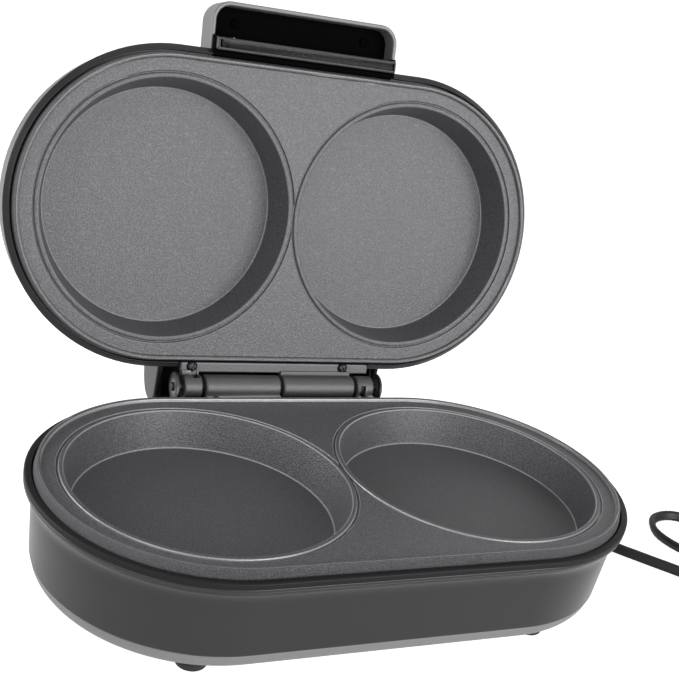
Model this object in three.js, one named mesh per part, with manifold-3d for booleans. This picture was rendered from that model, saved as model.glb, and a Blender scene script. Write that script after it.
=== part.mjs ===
// Electric griddle with two round cooking wells in each half, a hinged lid that stands open,
// a latch bar under the lid handle, and a flat two-core lead with its plug.
// Millimetres, +Z up. Each half is drawn plate side up: z = 0 at the mouth of its wells,
// its hinge edge at the back (+Y) in the base and at -Y in the lid, whose own frame then turns.
import * as THREE from "three";
import { mergeVertices } from "three/addons/utils/BufferGeometryUtils.js";
import Module from "manifold-3d";

const wasm = await Module();
wasm.setup();

// ---- driving dimensions -------------------------------------------------------------------
const fit = 0.3; // gap between pieces that touch
const arcSteps = 12; // steps in each half-round end of an outline
const wellSteps = 32; // and round each well
const wellSpacing = 140; // centre to centre
const wellMouthRadius = 67.2;
const wellFloorRadius = 62.4;
const wellDepth = 19.2;
const castWall = 2.4; // wall of the wells
const ringWidth = 2.1; // raised ring round each well
const grooveWidth = 1.2;
const grooveDepth = 1.1;
const plateEndRadius = 79.2; // outer edge of a plate, about a well's centre
const plateRimWidth = 2.2;
const plateRimHeight = 1.7; // over the well mouths, where the two plates meet
const landDrop = 0.3; // flat land between ring and rim, under the well mouths
const landThickness = 3.2;
const skirtFlare = 0.8;
const skirtHeight = 7.4;

const shellWall = 2.4;
const lipProud = 4.7; // shell lip outside the plate edge
const lipTop = -3.9;
const lipHeight = 2.3;
const lipWidth = 2.4;
const roomUnderWells = 23.4; // from a well's floor down to the base shell's bottom edge
const baseShellTaper = 1.7; // narrowing from shoulder to bottom edge
const coverDepth = 9.4;
const coverEdgeRound = 7.3; // from the cover's edge in to the flat underside
const footHeight = 7;
const footRadius = 8;
const frontFoot = [88, -57];
const backFootX = 46;
const backFootInset = 12; // from the back of the hump, behind the open lid's weight
const roomOverLidWells = 20.8; // from a lid well's floor to the lid's outer face
const lidCrownRadius = 52;

const closedGap = 0.7; // between the two plate rims with the lid shut
const openAngle = THREE.MathUtils.degToRad(102.35);
const hingeReach = 7.5; // between a plate's edge and the knuckles, for the screwed part of a leaf
const hingeHeight = 1.0; // hinge axis over the base's well mouths
const hingePinRadius = 2.4;
const knuckleRadius = 6.5;
const knuckleGap = 1.8;
const longKnuckle = 43.4;
const smallKnuckle = 10.2;
const leafHalfLength = 55.5;
const leafThickness = 4;
const leafUnderKnuckle = 0.5; // underside of a leaf, below its knuckles
const leafScrewX = [-39.5, 50.5];
const leafScrewHead = 2.6;
const hingeDiscRadius = 8;
const hingeDiscThickness = 1.2;
const hingeDiscX = 61;

const hoodHalfWidth = 67; // hood behind the hinge, part of the lid
const baseHumpHalfWidth = 58;
const humpBehindKnuckle = 0.3;
const humpCoverGap = 1.9; // between the bottom cover's edge and the hump

const handleHalfWidth = 54;
const handleReach = 29; // past the plate's skirt
const handleFront = -5;
const handleBack = -24;
const handleWall = 2.2;
const handleCorner = 10;
const handleScrewX = [-38, 38];
const latchBayHalfWidth = 55;
const latchBayWidth = 10.6;
const latchBayDepth = 12.5;
const latchBayWall = 2.6;
const latchAxisInset = 2.6; // from the outer side of the bay
const latchAxisZ = -8.4;
const latchPinRadius = 1.4;
const latchBarWidth = 6.6;
const latchBarDepth = 4.2;
const latchSlotWidth = 3.8;
const latchSlotDepth = 3;

const elementTubeRadius = 3.2;
const elementEndRadius = 40;
const elementLegX = 14;
const cordWidth = 5.4;
const cordThickness = 3.3;
const cordExitX = 45;
const cordExitZ = -30;
const strainReliefLength = 30;
const coilCentre = [336, 20];
const coilRadius = 30;
const coilTurns = 2.25;

// ---- sizes worked out from them -------------------------------------------------------------
const halfSpacing = wellSpacing / 2;
const plateRimInner = plateEndRadius - plateRimWidth;
const skirtRadius = plateEndRadius + skirtFlare;
const plateBottom = plateRimHeight - skirtHeight;
const wellOuterFloor = -(wellDepth + castWall);
const lipRadius = plateEndRadius + lipProud;
const shoulderRadius = plateEndRadius + 0.2;
const baseShellBottom = -(wellDepth + roomUnderWells);
const lidDepth = wellDepth + roomOverLidWells;
const coverEdge = shoulderRadius - baseShellTaper - 0.4;
const coverFootRadius = coverEdge - coverEdgeRound;
const coverTop = baseShellBottom - fit;
const coverBottom = baseShellBottom - coverDepth;
const floorZ = coverBottom - fit - footHeight;
const bezelFlangeTop = plateBottom - fit;
const bezelFlangeBottom = bezelFlangeTop - 1.2;
const bezelOuter = lipRadius - lipWidth - fit;
const leafTopUnderAxis = knuckleRadius + leafUnderKnuckle - leafThickness;
const leafScrewBore = leafScrewHead + 0.5;
const leafScrewInset = knuckleRadius + 0.8 + leafScrewBore; // from the hinge axis
const hingeSetback = plateEndRadius + knuckleRadius + hingeReach; // axis behind the plate centre line
const baseHumpBack = hingeSetback + knuckleRadius + humpBehindKnuckle;
const baseHumpFront = coverEdge + humpCoverGap;
const latchBayBottom = skirtRadius + 2 * fit;
const latchBayTop = latchBayBottom + latchBayWidth;
const latchAxisY = latchBayTop - latchAxisInset;
const handleTop = skirtRadius + handleReach;
const leafTop = hingeHeight - leafTopUnderAxis;
const seatCut = leafTop - leafThickness - fit; // housings are cut down to here under a leaf
const lidDrop = 2 * plateRimHeight + closedGap; // shut lid's well mouths over the base's
const hingeInLid = lidDrop - hingeHeight; // hinge axis in the lid's frame
const lidLeafTop = hingeInLid - leafTopUnderAxis;
const lidSeatCut = lidLeafTop - leafThickness - fit;
const elementZ = wellOuterFloor - 2 * fit - elementTubeRadius;
const reflectorTop = elementZ - elementTubeRadius - 1.6;

// ---- finishes -----------------------------------------------------------------------------
const finish = (color, roughness, metalness) =>
  new THREE.MeshStandardMaterial({ color, roughness, metalness });
const finishes = {
  shell: finish(0x55565a, 0.42, 0.35),
  cover: finish(0x8a8b8e, 0.5, 0.2),
  coating: finish(0x4a4a4e, 0.5, 0.5),
  blackPlastic: finish(0x141415, 0.5, 0),
  rubber: finish(0x101010, 0.85, 0),
  castAlloy: finish(0x77787a, 0.5, 0.7),
  steel: finish(0xb4b6b8, 0.35, 0.95),
  screw: finish(0x26262a, 0.4, 0.8),
  ceramic: finish(0xd8d2c4, 0.7, 0),
  lamp: finish(0xd05a3a, 0.3, 0),
  lens: finish(0xb02a20, 0.15, 0),
  greenLens: finish(0x2f8a48, 0.15, 0),
  brass: finish(0xc9a24e, 0.3, 0.9),
};

// ---- making and joining solids ----------------------------------------------------------------
// A closed geometry as a solid, with its faces turned outwards.
function solid(geometry) {
  const bare = new THREE.BufferGeometry().setAttribute("position", geometry.getAttribute("position"));
  bare.setIndex(geometry.index);
  const merged = mergeVertices(bare, 1e-3);
  const triangles = [];
  for (let i = 0; i < merged.index.count; i += 3) {
    const [a, b, c] = [0, 1, 2].map((k) => merged.index.getX(i + k));
    if (a !== b && b !== c && c !== a) triangles.push([a, b, c]);
  }
  const build = (list) =>
    new wasm.Manifold(
      new wasm.Mesh({
        numProp: 3,
        vertProperties: merged.attributes.position.array,
        triVerts: new Uint32Array(list.flat()),
      }),
    );
  const made = build(triangles);
  return made.volume() < 0 ? build(triangles.map(([a, b, c]) => [a, c, b])) : made;
}

const joined = (first, ...others) => others.reduce((all, next) => all.add(next), first);
const cut = (first, ...others) => others.reduce((all, next) => all.subtract(next), first);

function geometryOf(made) {
  const { vertProperties, triVerts } = made.getMesh();
  const geometry = new THREE.BufferGeometry();
  geometry.setAttribute("position", new THREE.BufferAttribute(new Float32Array(vertProperties), 3));
  geometry.setIndex(new THREE.BufferAttribute(new Uint32Array(triVerts), 1));
  geometry.computeVertexNormals();
  return geometry;
}

function piece(group, name, made, material) {
  const mesh = new THREE.Mesh(geometryOf(made), material);
  mesh.name = name;
  group.add(mesh);
  return mesh;
}

// A box between two corners.
function block([x0, y0, z0], [x1, y1, z1]) {
  const geometry = new THREE.BoxGeometry(x1 - x0, y1 - y0, z1 - z0);
  return solid(geometry.translate((x0 + x1) / 2, (y0 + y1) / 2, (z0 + z1) / 2));
}

// Rings of equal point count joined in a row: ring to ring, with flat ends or closed on itself.
function lofted(rings, loop = false) {
  const count = rings[0].length;
  const positions = rings.flat().flatMap((p) => [p.x, p.y, p.z]);
  const triangles = [];
  const rows = loop ? rings.length : rings.length - 1;
  for (let row = 0; row < rows; row += 1) {
    const low = row * count;
    const high = ((row + 1) % rings.length) * count;
    for (let i = 0; i < count; i += 1) {
      const j = (i + 1) % count;
      triangles.push(low + i, low + j, high + j, low + i, high + j, high + i);
    }
  }
  if (!loop) {
    const last = (rings.length - 1) * count;
    for (let i = 1; i < count - 1; i += 1) {
      triangles.push(0, i + 1, i, last, last + i, last + i + 1);
    }
  }
  const geometry = new THREE.BufferGeometry();
  geometry.setAttribute("position", new THREE.Float32BufferAttribute(positions, 3));
  geometry.setIndex(triangles);
  return solid(geometry);
}

// The outline of a half: two half-rounds about the well centres.
function stadium(radius, z, centre = halfSpacing) {
  const points = [];
  for (const side of [1, -1]) {
    for (let i = 0; i <= arcSteps; i += 1) {
      const angle = -Math.PI / 2 + (Math.PI * i) / arcSteps;
      const [along, across] = [centre + radius * Math.cos(angle), radius * Math.sin(angle)];
      points.push(new THREE.Vector3(side * along, side * across, z));
    }
  }
  return points;
}

const stadiumSolid = (profile, loop = false) =>
  lofted(profile.map(([radius, z]) => stadium(radius, z)), loop);

// A body of revolution about +Z through [x, y], from [radius, z] points.
function turned(profile, segments = 32, [x, y] = [0, 0]) {
  const points = profile.map(([radius, z]) => new THREE.Vector2(radius, z));
  return solid(new THREE.LatheGeometry(points, segments).rotateX(Math.PI / 2).translate(x, y, 0));
}

// The same about an axis along +X or +Y; the profile's second value runs along that axis.
function turnedAlong(axis, profile, segments, [x, y, z]) {
  const points = profile.map(([radius, along]) => new THREE.Vector2(radius, along));
  const geometry = new THREE.LatheGeometry(points, segments);
  if (axis === "x") geometry.rotateZ(-Math.PI / 2);
  return solid(geometry.translate(x, y, z));
}

const rod = (radius, from, to) => [[0, from], [radius, from], [radius, to], [0, to]];
const sleeve = (inner, outer, from, to) => [
  [inner, from], [outer, from], [outer, to], [inner, to], [inner, from],
];

// A profile in Y and Z, drawn along X between two places.
function extrudedAlongX(profile, x0, x1) {
  const shape = new THREE.Shape(profile.map(([y, z]) => new THREE.Vector2(y, z)));
  const geometry = new THREE.ExtrudeGeometry(shape, { depth: x1 - x0, bevelEnabled: false });
  const turn = new THREE.Matrix4().makeBasis(
    new THREE.Vector3(0, 1, 0),
    new THREE.Vector3(0, 0, 1),
    new THREE.Vector3(1, 0, 0),
  );
  return solid(geometry.applyMatrix4(turn).translate(x0, 0, 0));
}

// A section swept along a smooth curve through the points.
function swept(points, sectionPoints, steps) {
  const curve = new THREE.CatmullRomCurve3(points.map((p) => new THREE.Vector3(...p)), false, "centripetal");
  const shape = new THREE.Shape(sectionPoints.map(([a, b]) => new THREE.Vector2(a, b)));
  return solid(new THREE.ExtrudeGeometry(shape, { steps, bevelEnabled: false, extrudePath: curve }));
}

function roundSection(radius, sides) {
  return Array.from({ length: sides }, (_, i) => {
    const angle = (2 * Math.PI * i) / sides;
    return [radius * Math.cos(angle), radius * Math.sin(angle)];
  });
}

// ---- pieces that both halves share --------------------------------------------------------------
// Plate with two wells, a raised ring and groove round each, and a raised outer rim.
function cookingPlate() {
  const slab = stadiumSolid([
    [plateEndRadius - 1, plateBottom],
    [skirtRadius - 0.4, plateBottom],
    [skirtRadius, plateRimHeight - 4.4],
    [plateEndRadius, plateRimHeight - 0.3],
    [plateEndRadius - 0.4, plateRimHeight],
    [plateRimInner, plateRimHeight],
    [plateRimInner - 0.3, -landDrop],
  ]);
  const underside = stadiumSolid([
    [plateRimInner - 1.2, plateBottom - 1],
    [plateRimInner - 1.2, -landDrop - landThickness],
  ]);
  let plate = cut(slab, underside);
  const ringRadius = wellMouthRadius + ringWidth;
  const wallAt = (z) => wellMouthRadius + (z * (wellMouthRadius - wellFloorRadius)) / wellDepth;
  const centres = [[-halfSpacing, 0], [halfSpacing, 0]];
  for (const centre of centres) {
    const grooveOuter = ringRadius + grooveWidth;
    const grooveFloor = -landDrop - grooveDepth;
    plate = plate.subtract(
      turned([[0, grooveFloor], [grooveOuter, grooveFloor], [grooveOuter, 5], [0, 5]], wellSteps, centre),
    );
  }
  for (const centre of centres) {
    plate = plate.add(
      turned(
        [
          [0, wellOuterFloor],
          [wellFloorRadius + castWall - 1.5, wellOuterFloor],
          [wellFloorRadius + castWall, wellOuterFloor + 1.5],
          [wallAt(-5) + castWall, -5],
          [ringRadius, -3.6],
          [ringRadius, 0],
          [0, 0],
        ],
        wellSteps,
        centre,
      ),
    );
  }
  for (const centre of centres) {
    plate = plate.subtract(
      turned([[0, -wellDepth], [wellFloorRadius, -wellDepth], [wallAt(1), 1], [0, 1]], wellSteps, centre),
    );
  }
  return plate;
}

// Black ring that fills the step between a plate and the housing lip.
function bezel(notch) {
  const ring = stadiumSolid(
    [
      [lipRadius - fit, lipTop + fit],
      [lipRadius - fit, lipTop + 1.6],
      [skirtRadius + 0.5, lipTop + 1.6],
      [skirtRadius + 0.5, bezelFlangeTop],
      [plateRimInner - 2.6, bezelFlangeTop],
      [plateRimInner - 2.6, bezelFlangeBottom],
      [bezelOuter, bezelFlangeBottom],
      [bezelOuter, lipTop + fit],
    ],
    true,
  );
  return cut(ring, ...notch);
}

// Lip and upper wall of a housing, outside then inside, from the shoulder up and back down.
const housingOuter = [
  [shoulderRadius, -18],
  [shoulderRadius + 1, -10],
  [lipRadius, lipTop - lipHeight],
  [lipRadius, lipTop],
];
const housingInner = [
  [lipRadius - lipWidth, lipTop],
  [lipRadius - lipWidth, bezelFlangeBottom - fit],
  [shoulderRadius + 1 - shellWall, -10.6],
  [shoulderRadius - shellWall, -18],
];

// Room inside the lip for the bezel, above the walls.
const bezelPocket = [
  [lipRadius - lipWidth, bezelFlangeBottom - fit],
  [lipRadius - lipWidth, 9],
];

// Sheathed heating element: an open loop under the plate with both ends turned down.
function heatingElement() {
  const ends = [
    [elementLegX, elementEndRadius, elementZ - 4.5],
    [elementLegX + 2, elementEndRadius, elementZ - 1.5],
  ];
  const points = [...ends];
  for (const side of [1, -1]) {
    for (let i = 0; i <= 6; i += 1) {
      const angle = Math.PI / 2 - (Math.PI * i) / 6;
      const turn = side > 0 ? angle : -angle;
      points.push([
        side * (halfSpacing + elementEndRadius * Math.cos(angle)),
        elementEndRadius * Math.sin(turn),
        elementZ,
      ]);
    }
  }
  points.push(...ends.reverse().map(([x, y, z]) => [-x, y, z]));
  return swept(points, roundSection(elementTubeRadius, 6), 44);
}

// Thin pan that keeps the heat under the plate.
function reflector() {
  const edge = plateRimInner - 6.4;
  const pan = stadiumSolid([
    [edge - 4, reflectorTop - 0.8],
    [edge, reflectorTop + 2.6],
    [edge - 0.9, reflectorTop + 2.6],
    [edge - 4.6, reflectorTop],
  ]);
  const legWindow = block(
    [-elementLegX - 7, elementEndRadius - 6, reflectorTop - 2],
    [elementLegX + 7, elementEndRadius + 6, reflectorTop + 1],
  );
  return cut(pan, legWindow);
}

// Cast hinge leaf about its own axis along X: one long and one small knuckle.
function hingeLeaf() {
  const top = -leafTopUnderAxis;
  const bottom = top - leafThickness;
  const plateBack = -knuckleRadius - 0.8;
  const leafFront = -(hingeSetback - skirtRadius - 0.7);
  const longEnd = -knuckleGap / 2;
  const longStart = longEnd - longKnuckle;
  const smallEnd = leafHalfLength + 1;
  const smallStart = smallEnd - smallKnuckle;
  let leaf = block([-leafHalfLength, leafFront, bottom], [smallEnd, plateBack, top]);
  for (const [from, to] of [[longStart, longEnd], [smallStart, smallEnd]]) {
    leaf = joined(
      leaf,
      turnedAlong("x", rod(knuckleRadius, from, to), 20, [0, 0, 0]),
      block([from, plateBack - 1, -knuckleRadius + 0.3], [to, 0, top + 1.2]),
    );
  }
  const window = block(
    [smallStart + 1.4, -knuckleRadius - 1, -2.6],
    [smallStart + 5, -hingePinRadius - 1.4, 3.4],
  );
  const bore = turnedAlong("x", rod(hingePinRadius + fit, -80, 80), 20, [0, 0, 0]);
  const screwHoles = leafScrewX.map((x) =>
    turned(
      [[0, bottom - 1], [1.9, bottom - 1], [1.9, top], [leafScrewBore, top], [leafScrewBore, 4], [0, 4]],
      12,
      [x, -leafScrewInset],
    ),
  );
  return cut(leaf, window, bore, ...screwHoles);
}

// Pan-head screw pointing down, head seated at z = 0.
const screw = (headRadius, headHeight, shaftRadius, length) =>
  turned(
    [
      [0, -length],
      [shaftRadius, -length],
      [shaftRadius, 0],
      [headRadius, 0],
      [headRadius, headHeight * 0.5],
      [headRadius * 0.7, headHeight],
      [0, headHeight],
    ],
    10,
  );

// Tapped post under a leaf screw, hung from the housing lip.
function screwPost(x, y, top) {
  const post = turned(rod(3.6, top - 11, top), 16, [x, y]);
  return [post, turned(rod(1.8, top - 10, top + 1), 12, [x, y])];
}

const leafScrewPlaces = (side) => leafScrewX.map((x) => [side * x, side * (hingeSetback - leafScrewInset)]);

// ---- base -------------------------------------------------------------------------------------
const base = new THREE.Group();

const leafNotch = (side, floor) => {
  const y = [side * (skirtRadius + 0.4), side * (lipRadius + 20)].sort((a, b) => a - b);
  return block([-leafHalfLength - 1.6, y[0], floor], [leafHalfLength + 1.6, y[1], 10]);
};

const frontFeet = [["front_left", -frontFoot[0], frontFoot[1]], ["front_right", ...frontFoot]];
const backFootY = baseHumpBack - backFootInset;
const backFeet = [["back_left", -backFootX, backFootY], ["back_right", backFootX, backFootY]];
const footPlaces = [...frontFeet, ...backFeet];

function baseShell() {
  const bottomRadius = shoulderRadius - baseShellTaper;
  const ring = stadiumSolid(
    [
      [bottomRadius, baseShellBottom],
      ...housingOuter,
      ...housingInner,
      [bottomRadius - shellWall, baseShellBottom],
    ],
    true,
  );
  const inside = stadiumSolid([
    [bottomRadius - 1, baseShellBottom - 1],
    [shoulderRadius - 1, -18],
    [shoulderRadius - 1, -10.6],
    ...bezelPocket,
  ]);
  const back = baseHumpBack;
  const humpProfile = [
    [baseHumpFront - 9.2, seatCut],
    [back - 3, seatCut],
    [back, seatCut - 3],
    [back, coverBottom + 3],
    [back - 3, coverBottom],
    [baseHumpFront, coverBottom],
    [baseHumpFront, baseShellBottom],
    [baseHumpFront - 9.2, baseShellBottom],
  ];
  const w = baseHumpHalfWidth;
  const hollow = block(
    [-w + shellWall, baseHumpFront - 13.2, baseShellBottom + shellWall],
    [w - shellWall, back - shellWall, seatCut - shellWall],
  );
  const footHole = rod(1.9, coverBottom - 1, coverBottom + 7);
  const footHoles = backFeet.map(([, x, y]) => turned(footHole, 12, [x, y]));
  const footWell = block(
    [-w + shellWall, baseHumpFront + shellWall, coverBottom + shellWall],
    [w - shellWall, back - shellWall, baseShellBottom + shellWall + 1],
  );
  const hump = cut(extrudedAlongX(humpProfile, -w, w), hollow, footWell, inside, ...footHoles);
  const wiringWindow = block([-34, shoulderRadius - 9.4, -37], [52, shoulderRadius + 2.6, -16]);
  const cordHole = turnedAlong("y", rod(4.9, back - 8, back + 2), 20, [cordExitX, 0, cordExitZ]);
  const posts = leafScrewPlaces(1).map(([x, y]) => screwPost(x, y, seatCut));
  return cut(
    joined(ring, hump, ...posts.map(([post]) => cut(post, inside))),
    leafNotch(1, seatCut),
    wiringWindow,
    cordHole,
    ...posts.map(([, hole]) => hole),
  );
}

function bottomCover() {
  const pan = stadiumSolid([
    [coverFootRadius, coverBottom],
    [coverEdge - 3.2, coverBottom + 2.4],
    [coverEdge - 0.8, coverBottom + 5.6],
    [coverEdge, coverTop],
    [coverEdge - shellWall, coverTop],
    [coverEdge - 3.6, coverBottom + 6.4],
    [coverEdge - 6.2, coverBottom + 3.8],
    [coverFootRadius - 2, coverBottom + shellWall],
  ]);
  const holes = frontFeet.map(([, x, y]) => turned(rod(1.9, coverBottom - 1, coverBottom + 5), 12, [x, y]));
  const vents = [-1, 1].flatMap((side) =>
    [0, 1, 2, 3].map((i) =>
      block(
        [side * 26 - 13, -21 + i * 12, coverBottom - 1],
        [side * 26 + 13, -17.5 + i * 12, coverBottom + 5],
      ),
    ),
  );
  return cut(pan, ...holes, ...vents);
}

piece(base, "base_shell", baseShell(), finishes.shell);
piece(base, "base_bottom_cover", bottomCover(), finishes.cover);
piece(base, "base_bezel", bezel([leafNotch(1, -20)]), finishes.blackPlastic);
piece(base, "lower_cooking_plate", cookingPlate(), finishes.coating);
piece(base, "lower_heating_element", heatingElement(), finishes.steel);
piece(base, "lower_reflector", reflector(), finishes.steel);

const thermostatTop = wellOuterFloor - fit;
piece(
  base,
  "thermostat",
  turned(
    [
      [0, thermostatTop - 7],
      [5.5, thermostatTop - 7],
      [5.5, thermostatTop - 3.4],
      [8, thermostatTop - 3.4],
      [8, thermostatTop],
      [0, thermostatTop],
    ],
    20,
    [-halfSpacing, 0],
  ),
  finishes.ceramic,
);
piece(
  base,
  "thermal_fuse",
  turnedAlong("x", [[0, -9], [1.2, -9], [2.2, -6.5], [2.2, 6.5], [1.2, 9], [0, 9]], 12, [
    halfSpacing,
    0,
    wellOuterFloor - fit - 2.3,
  ]),
  finishes.steel,
);

const insideFloor = coverBottom + shellWall + fit;
const terminalBlock = cut(
  block([8, 38, insideFloor], [44, 52, insideFloor + 8]),
  ...[14, 26, 38].map((x) => turnedAlong("y", rod(1.8, 30, 60), 10, [x, 0, insideFloor + 4.2])),
);
piece(base, "terminal_block", terminalBlock, finishes.ceramic);
piece(
  base,
  "cord_clamp",
  cut(
    block([cordExitX - 11, 58, insideFloor], [cordExitX + 11, 66, insideFloor + 9]),
    block([cordExitX - 3.2, 50, insideFloor + 3], [cordExitX + 3.2, 70, insideFloor + 10]),
  ),
  finishes.blackPlastic,
);

const axis = [0, hingeSetback, hingeHeight];
const placed = (mesh, [x, y, z], turn = 0) => {
  mesh.position.set(x, y, z);
  mesh.rotation.z = turn;
  return mesh;
};
placed(piece(base, "base_hinge_leaf", hingeLeaf(), finishes.castAlloy), axis);
piece(
  base,
  "hinge_pin",
  turnedAlong("x", rod(hingePinRadius, -hingeDiscX - 1.6, hingeDiscX + 1.6), 16, axis),
  finishes.steel,
);
for (const [side, x] of [["left", -hingeDiscX], ["right", hingeDiscX]]) {
  const inner = Math.sign(x) * (Math.abs(x) - hingeDiscThickness);
  const profile = sleeve(hingePinRadius + fit, hingeDiscRadius, Math.min(x, inner), Math.max(x, inner));
  piece(base, `hinge_disc_${side}`, turnedAlong("x", profile, 28, axis), finishes.steel);
}
for (const [i, [x, y]] of leafScrewPlaces(1).entries()) {
  const name = `base_hinge_screw_${["left", "right"][i]}`;
  placed(piece(base, name, screw(leafScrewHead, 1.7, 1.5, 11), finishes.screw), [x, y, leafTop + fit]);
}
for (const [place, x, y] of footPlaces) {
  const foot = turned(
    [
      [2, coverBottom - fit],
      [footRadius, coverBottom - fit],
      [footRadius - 0.8, floorZ + 0.8],
      [footRadius - 1.6, floorZ],
      [4, floorZ],
      [4, floorZ + 3.4],
      [2, floorZ + 3.4],
      [2, coverBottom - fit],
    ],
    16,
    [x, y],
  );
  piece(base, `foot_${place}`, foot, finishes.rubber);
  const fastener = piece(base, `foot_screw_${place}`, screw(3.2, 1.8, 1.5, 8), finishes.steel);
  fastener.rotation.x = Math.PI;
  fastener.position.set(x, y, floorZ + 3.4 - fit);
}

// ---- lead, with its strain relief, coil and plug --------------------------------------------------
const back = baseHumpBack;
const reliefEnd = back + strainReliefLength;
piece(
  base,
  "strain_relief",
  turnedAlong(
    "y",
    [
      [0, back - shellWall - 3],
      [6.8, back - shellWall - 3],
      [6.8, back - shellWall - fit],
      [4.6, back - shellWall - fit],
      [4.6, back + fit],
      [6.6, back + fit],
      [6.4, back + 4],
      [3.5, reliefEnd],
      [0, reliefEnd],
    ],
    16,
    [cordExitX, 0, cordExitZ],
  ),
  finishes.rubber,
);

const cordSection = [
  [-1, -0.55], [-0.55, -1], [0.55, -1], [1, -0.55], [1, 0.55], [0.55, 1], [-0.55, 1], [-1, 0.55],
].map(([a, b]) => [(a * cordWidth) / 2, (b * cordThickness) / 2]);
const cordZ = floorZ + cordThickness / 2 + 0.1;
const cordStart = reliefEnd + fit;
const [coilX, coilY] = coilCentre;
const coilInner = coilRadius - cordWidth / 2 - 0.6;
const coilOuter = coilRadius + cordWidth / 2 + 0.6;
const coilHeight = Math.ceil(coilTurns) * (cordThickness + 0.2);
const cordRoute = [
  [cordExitX, cordStart, cordExitZ],
  [cordExitX, cordStart + 11, cordExitZ - 1.4],
  [cordExitX, cordStart + 24, cordExitZ - 7],
  [cordExitX, cordStart + 36, cordExitZ - 14.5],
  [cordExitX, cordStart + 48, cordExitZ - 21.5],
  [cordExitX, cordStart + 60, cordExitZ - 26],
  [cordExitX, cordStart + 74, cordZ],
  [cordExitX + 2, cordStart + 90, cordZ],
  [cordExitX + 13, cordStart + 105, cordZ],
  [cordExitX + 31, cordStart + 109, cordZ],
  [cordExitX + 46, cordStart + 100, cordZ],
  [cordExitX + 57, cordStart + 80, cordZ],
  [115, 174, cordZ],
  [133, 128, cordZ],
  [152, 77, cordZ],
  [166, 40, cordZ],
  [184, 5, cordZ],
  [197, -10, cordZ],
  [212, -26, cordZ],
  [229, -45, cordZ],
  [248, -63, cordZ],
  [268, -76, cordZ],
  [287, -79, cordZ],
  [303, -70, cordZ],
  [307, -53, cordZ],
  [299, -38, cordZ],
  [281, -30, cordZ],
  [262, -27, cordZ],
  [243, -18, cordZ],
  [230, -3, cordZ],
  [227, 14, cordZ],
  [236, 28, cordZ],
  [252, 31, cordZ],
  [266, 21, cordZ],
  [273, 5, cordZ],
  [284, -8, cordZ],
  [299, -12, cordZ],
  [coilX - 19.8, coilY - coilRadius, cordZ],
];
const cordNodes = [];
cordNodes.push(piece(base, "power_cord", swept(cordRoute, cordSection, 80), finishes.rubber));
cordNodes.push(
  piece(
    base,
    "cord_coil",
    turned(sleeve(coilInner, coilOuter, floorZ + 0.1, floorZ + 0.1 + coilHeight), 32, coilCentre),
    finishes.rubber,
  ),
);

const plugLength = 42;
const plugThickness = 17;
const plugWidth = 35;
const plugX = coilX + coilRadius;
const plugStart = coilY + 32;
const plugZ = floorZ + plugThickness / 2 + 0.1;
const tailRoute = [
  [plugX, coilY + 19.6, plugZ - 0.3],
  [plugX, coilY + 24, plugZ - 0.2],
  [plugX, coilY + 28, plugZ - 0.1],
  [plugX, plugStart - fit, plugZ],
];
cordNodes.push(piece(base, "cord_tail", swept(tailRoute, cordSection, 8), finishes.rubber));

function plugBody() {
  const oval = (width, thickness, y) =>
    Array.from({ length: 20 }, (_, i) => {
      const angle = (2 * Math.PI * i) / 20;
      const round = (value) => Math.sign(value) * Math.abs(value) ** 0.6;
      return new THREE.Vector3(
        plugX + (width / 2) * round(Math.cos(angle)),
        y,
        plugZ + (thickness / 2) * round(Math.sin(angle)),
      );
    });
  return lofted([
    oval(9, 7, plugStart),
    oval(13, 10, plugStart + 11),
    oval(26, 15, plugStart + 20),
    oval(plugWidth, plugThickness, plugStart + 28),
    oval(plugWidth, plugThickness, plugStart + plugLength - 1.5),
    oval(plugWidth - 3, plugThickness - 3, plugStart + plugLength),
  ]);
}
cordNodes.push(piece(base, "plug_body", plugBody(), finishes.blackPlastic));
for (const [side, x] of [["left", plugX - 9.5], ["right", plugX + 9.5]]) {
  const start = plugStart + plugLength + fit;
  const profile = [[0, start], [2.4, start], [2.4, start + 17.8], [1.4, start + 19], [0, start + 19]];
  const pin = turnedAlong("y", profile, 12, [x, 0, plugZ]);
  cordNodes.push(piece(base, `plug_pin_${side}`, pin, finishes.brass));
}

// ---- lid --------------------------------------------------------------------------------------
const lid = new THREE.Group();
const turn = Math.PI - openAngle;
const reach = lidDrop - hingeHeight;
lid.rotation.x = turn;
lid.position.set(
  0,
  hingeSetback * (1 - Math.cos(openAngle)) + reach * Math.sin(openAngle),
  hingeHeight + hingeSetback * Math.sin(openAngle) + reach * Math.cos(openAngle),
);

const crown = -lidDepth;
const lidOuterProfile = [
  [lidCrownRadius, crown],
  [lidCrownRadius + 12, crown + 0.8],
  [lidCrownRadius + 20, crown + 3.4],
  [shoulderRadius - 3, crown + 8],
  [shoulderRadius - 0.8, crown + 14],
  ...housingOuter,
];
const lidInnerProfile = [
  ...housingInner,
  [shoulderRadius - shellWall - 1, crown + 15],
  [shoulderRadius - shellWall - 3, crown + 9.4],
  [lidCrownRadius + 18, crown + 5.6],
  [lidCrownRadius + 11, crown + 3.2],
  [lidCrownRadius, crown + shellWall],
];

const hoodFront = -(shoulderRadius - 9.4);
const hoodProfile = [
  [hoodFront, -8],
  [-(hingeSetback - 10.3), -6.7],
  [-(hingeSetback + 8.3), -10.7],
  [-(hingeSetback + 11.8), -13.5],
  [-(hingeSetback + 13.3), -18],
  [-(hingeSetback + 11.3), -26],
  [-(hingeSetback + 4.8), -31],
  [-(hingeSetback - 9.2), -34],
  [hoodFront, -35],
];
const hoodHollowBack = -(hingeSetback + 10.4);
const hoodHollowFloor = -28.4;
const indicatorPlaces = [["power", -13, 47], ["ready", 13, 47]];

const latchBay = (gap, top) =>
  block(
    [-latchBayHalfWidth - gap, latchBayBottom - gap, lipTop - latchBayDepth - gap],
    [latchBayHalfWidth + gap, latchBayTop + gap, top],
  );

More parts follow.
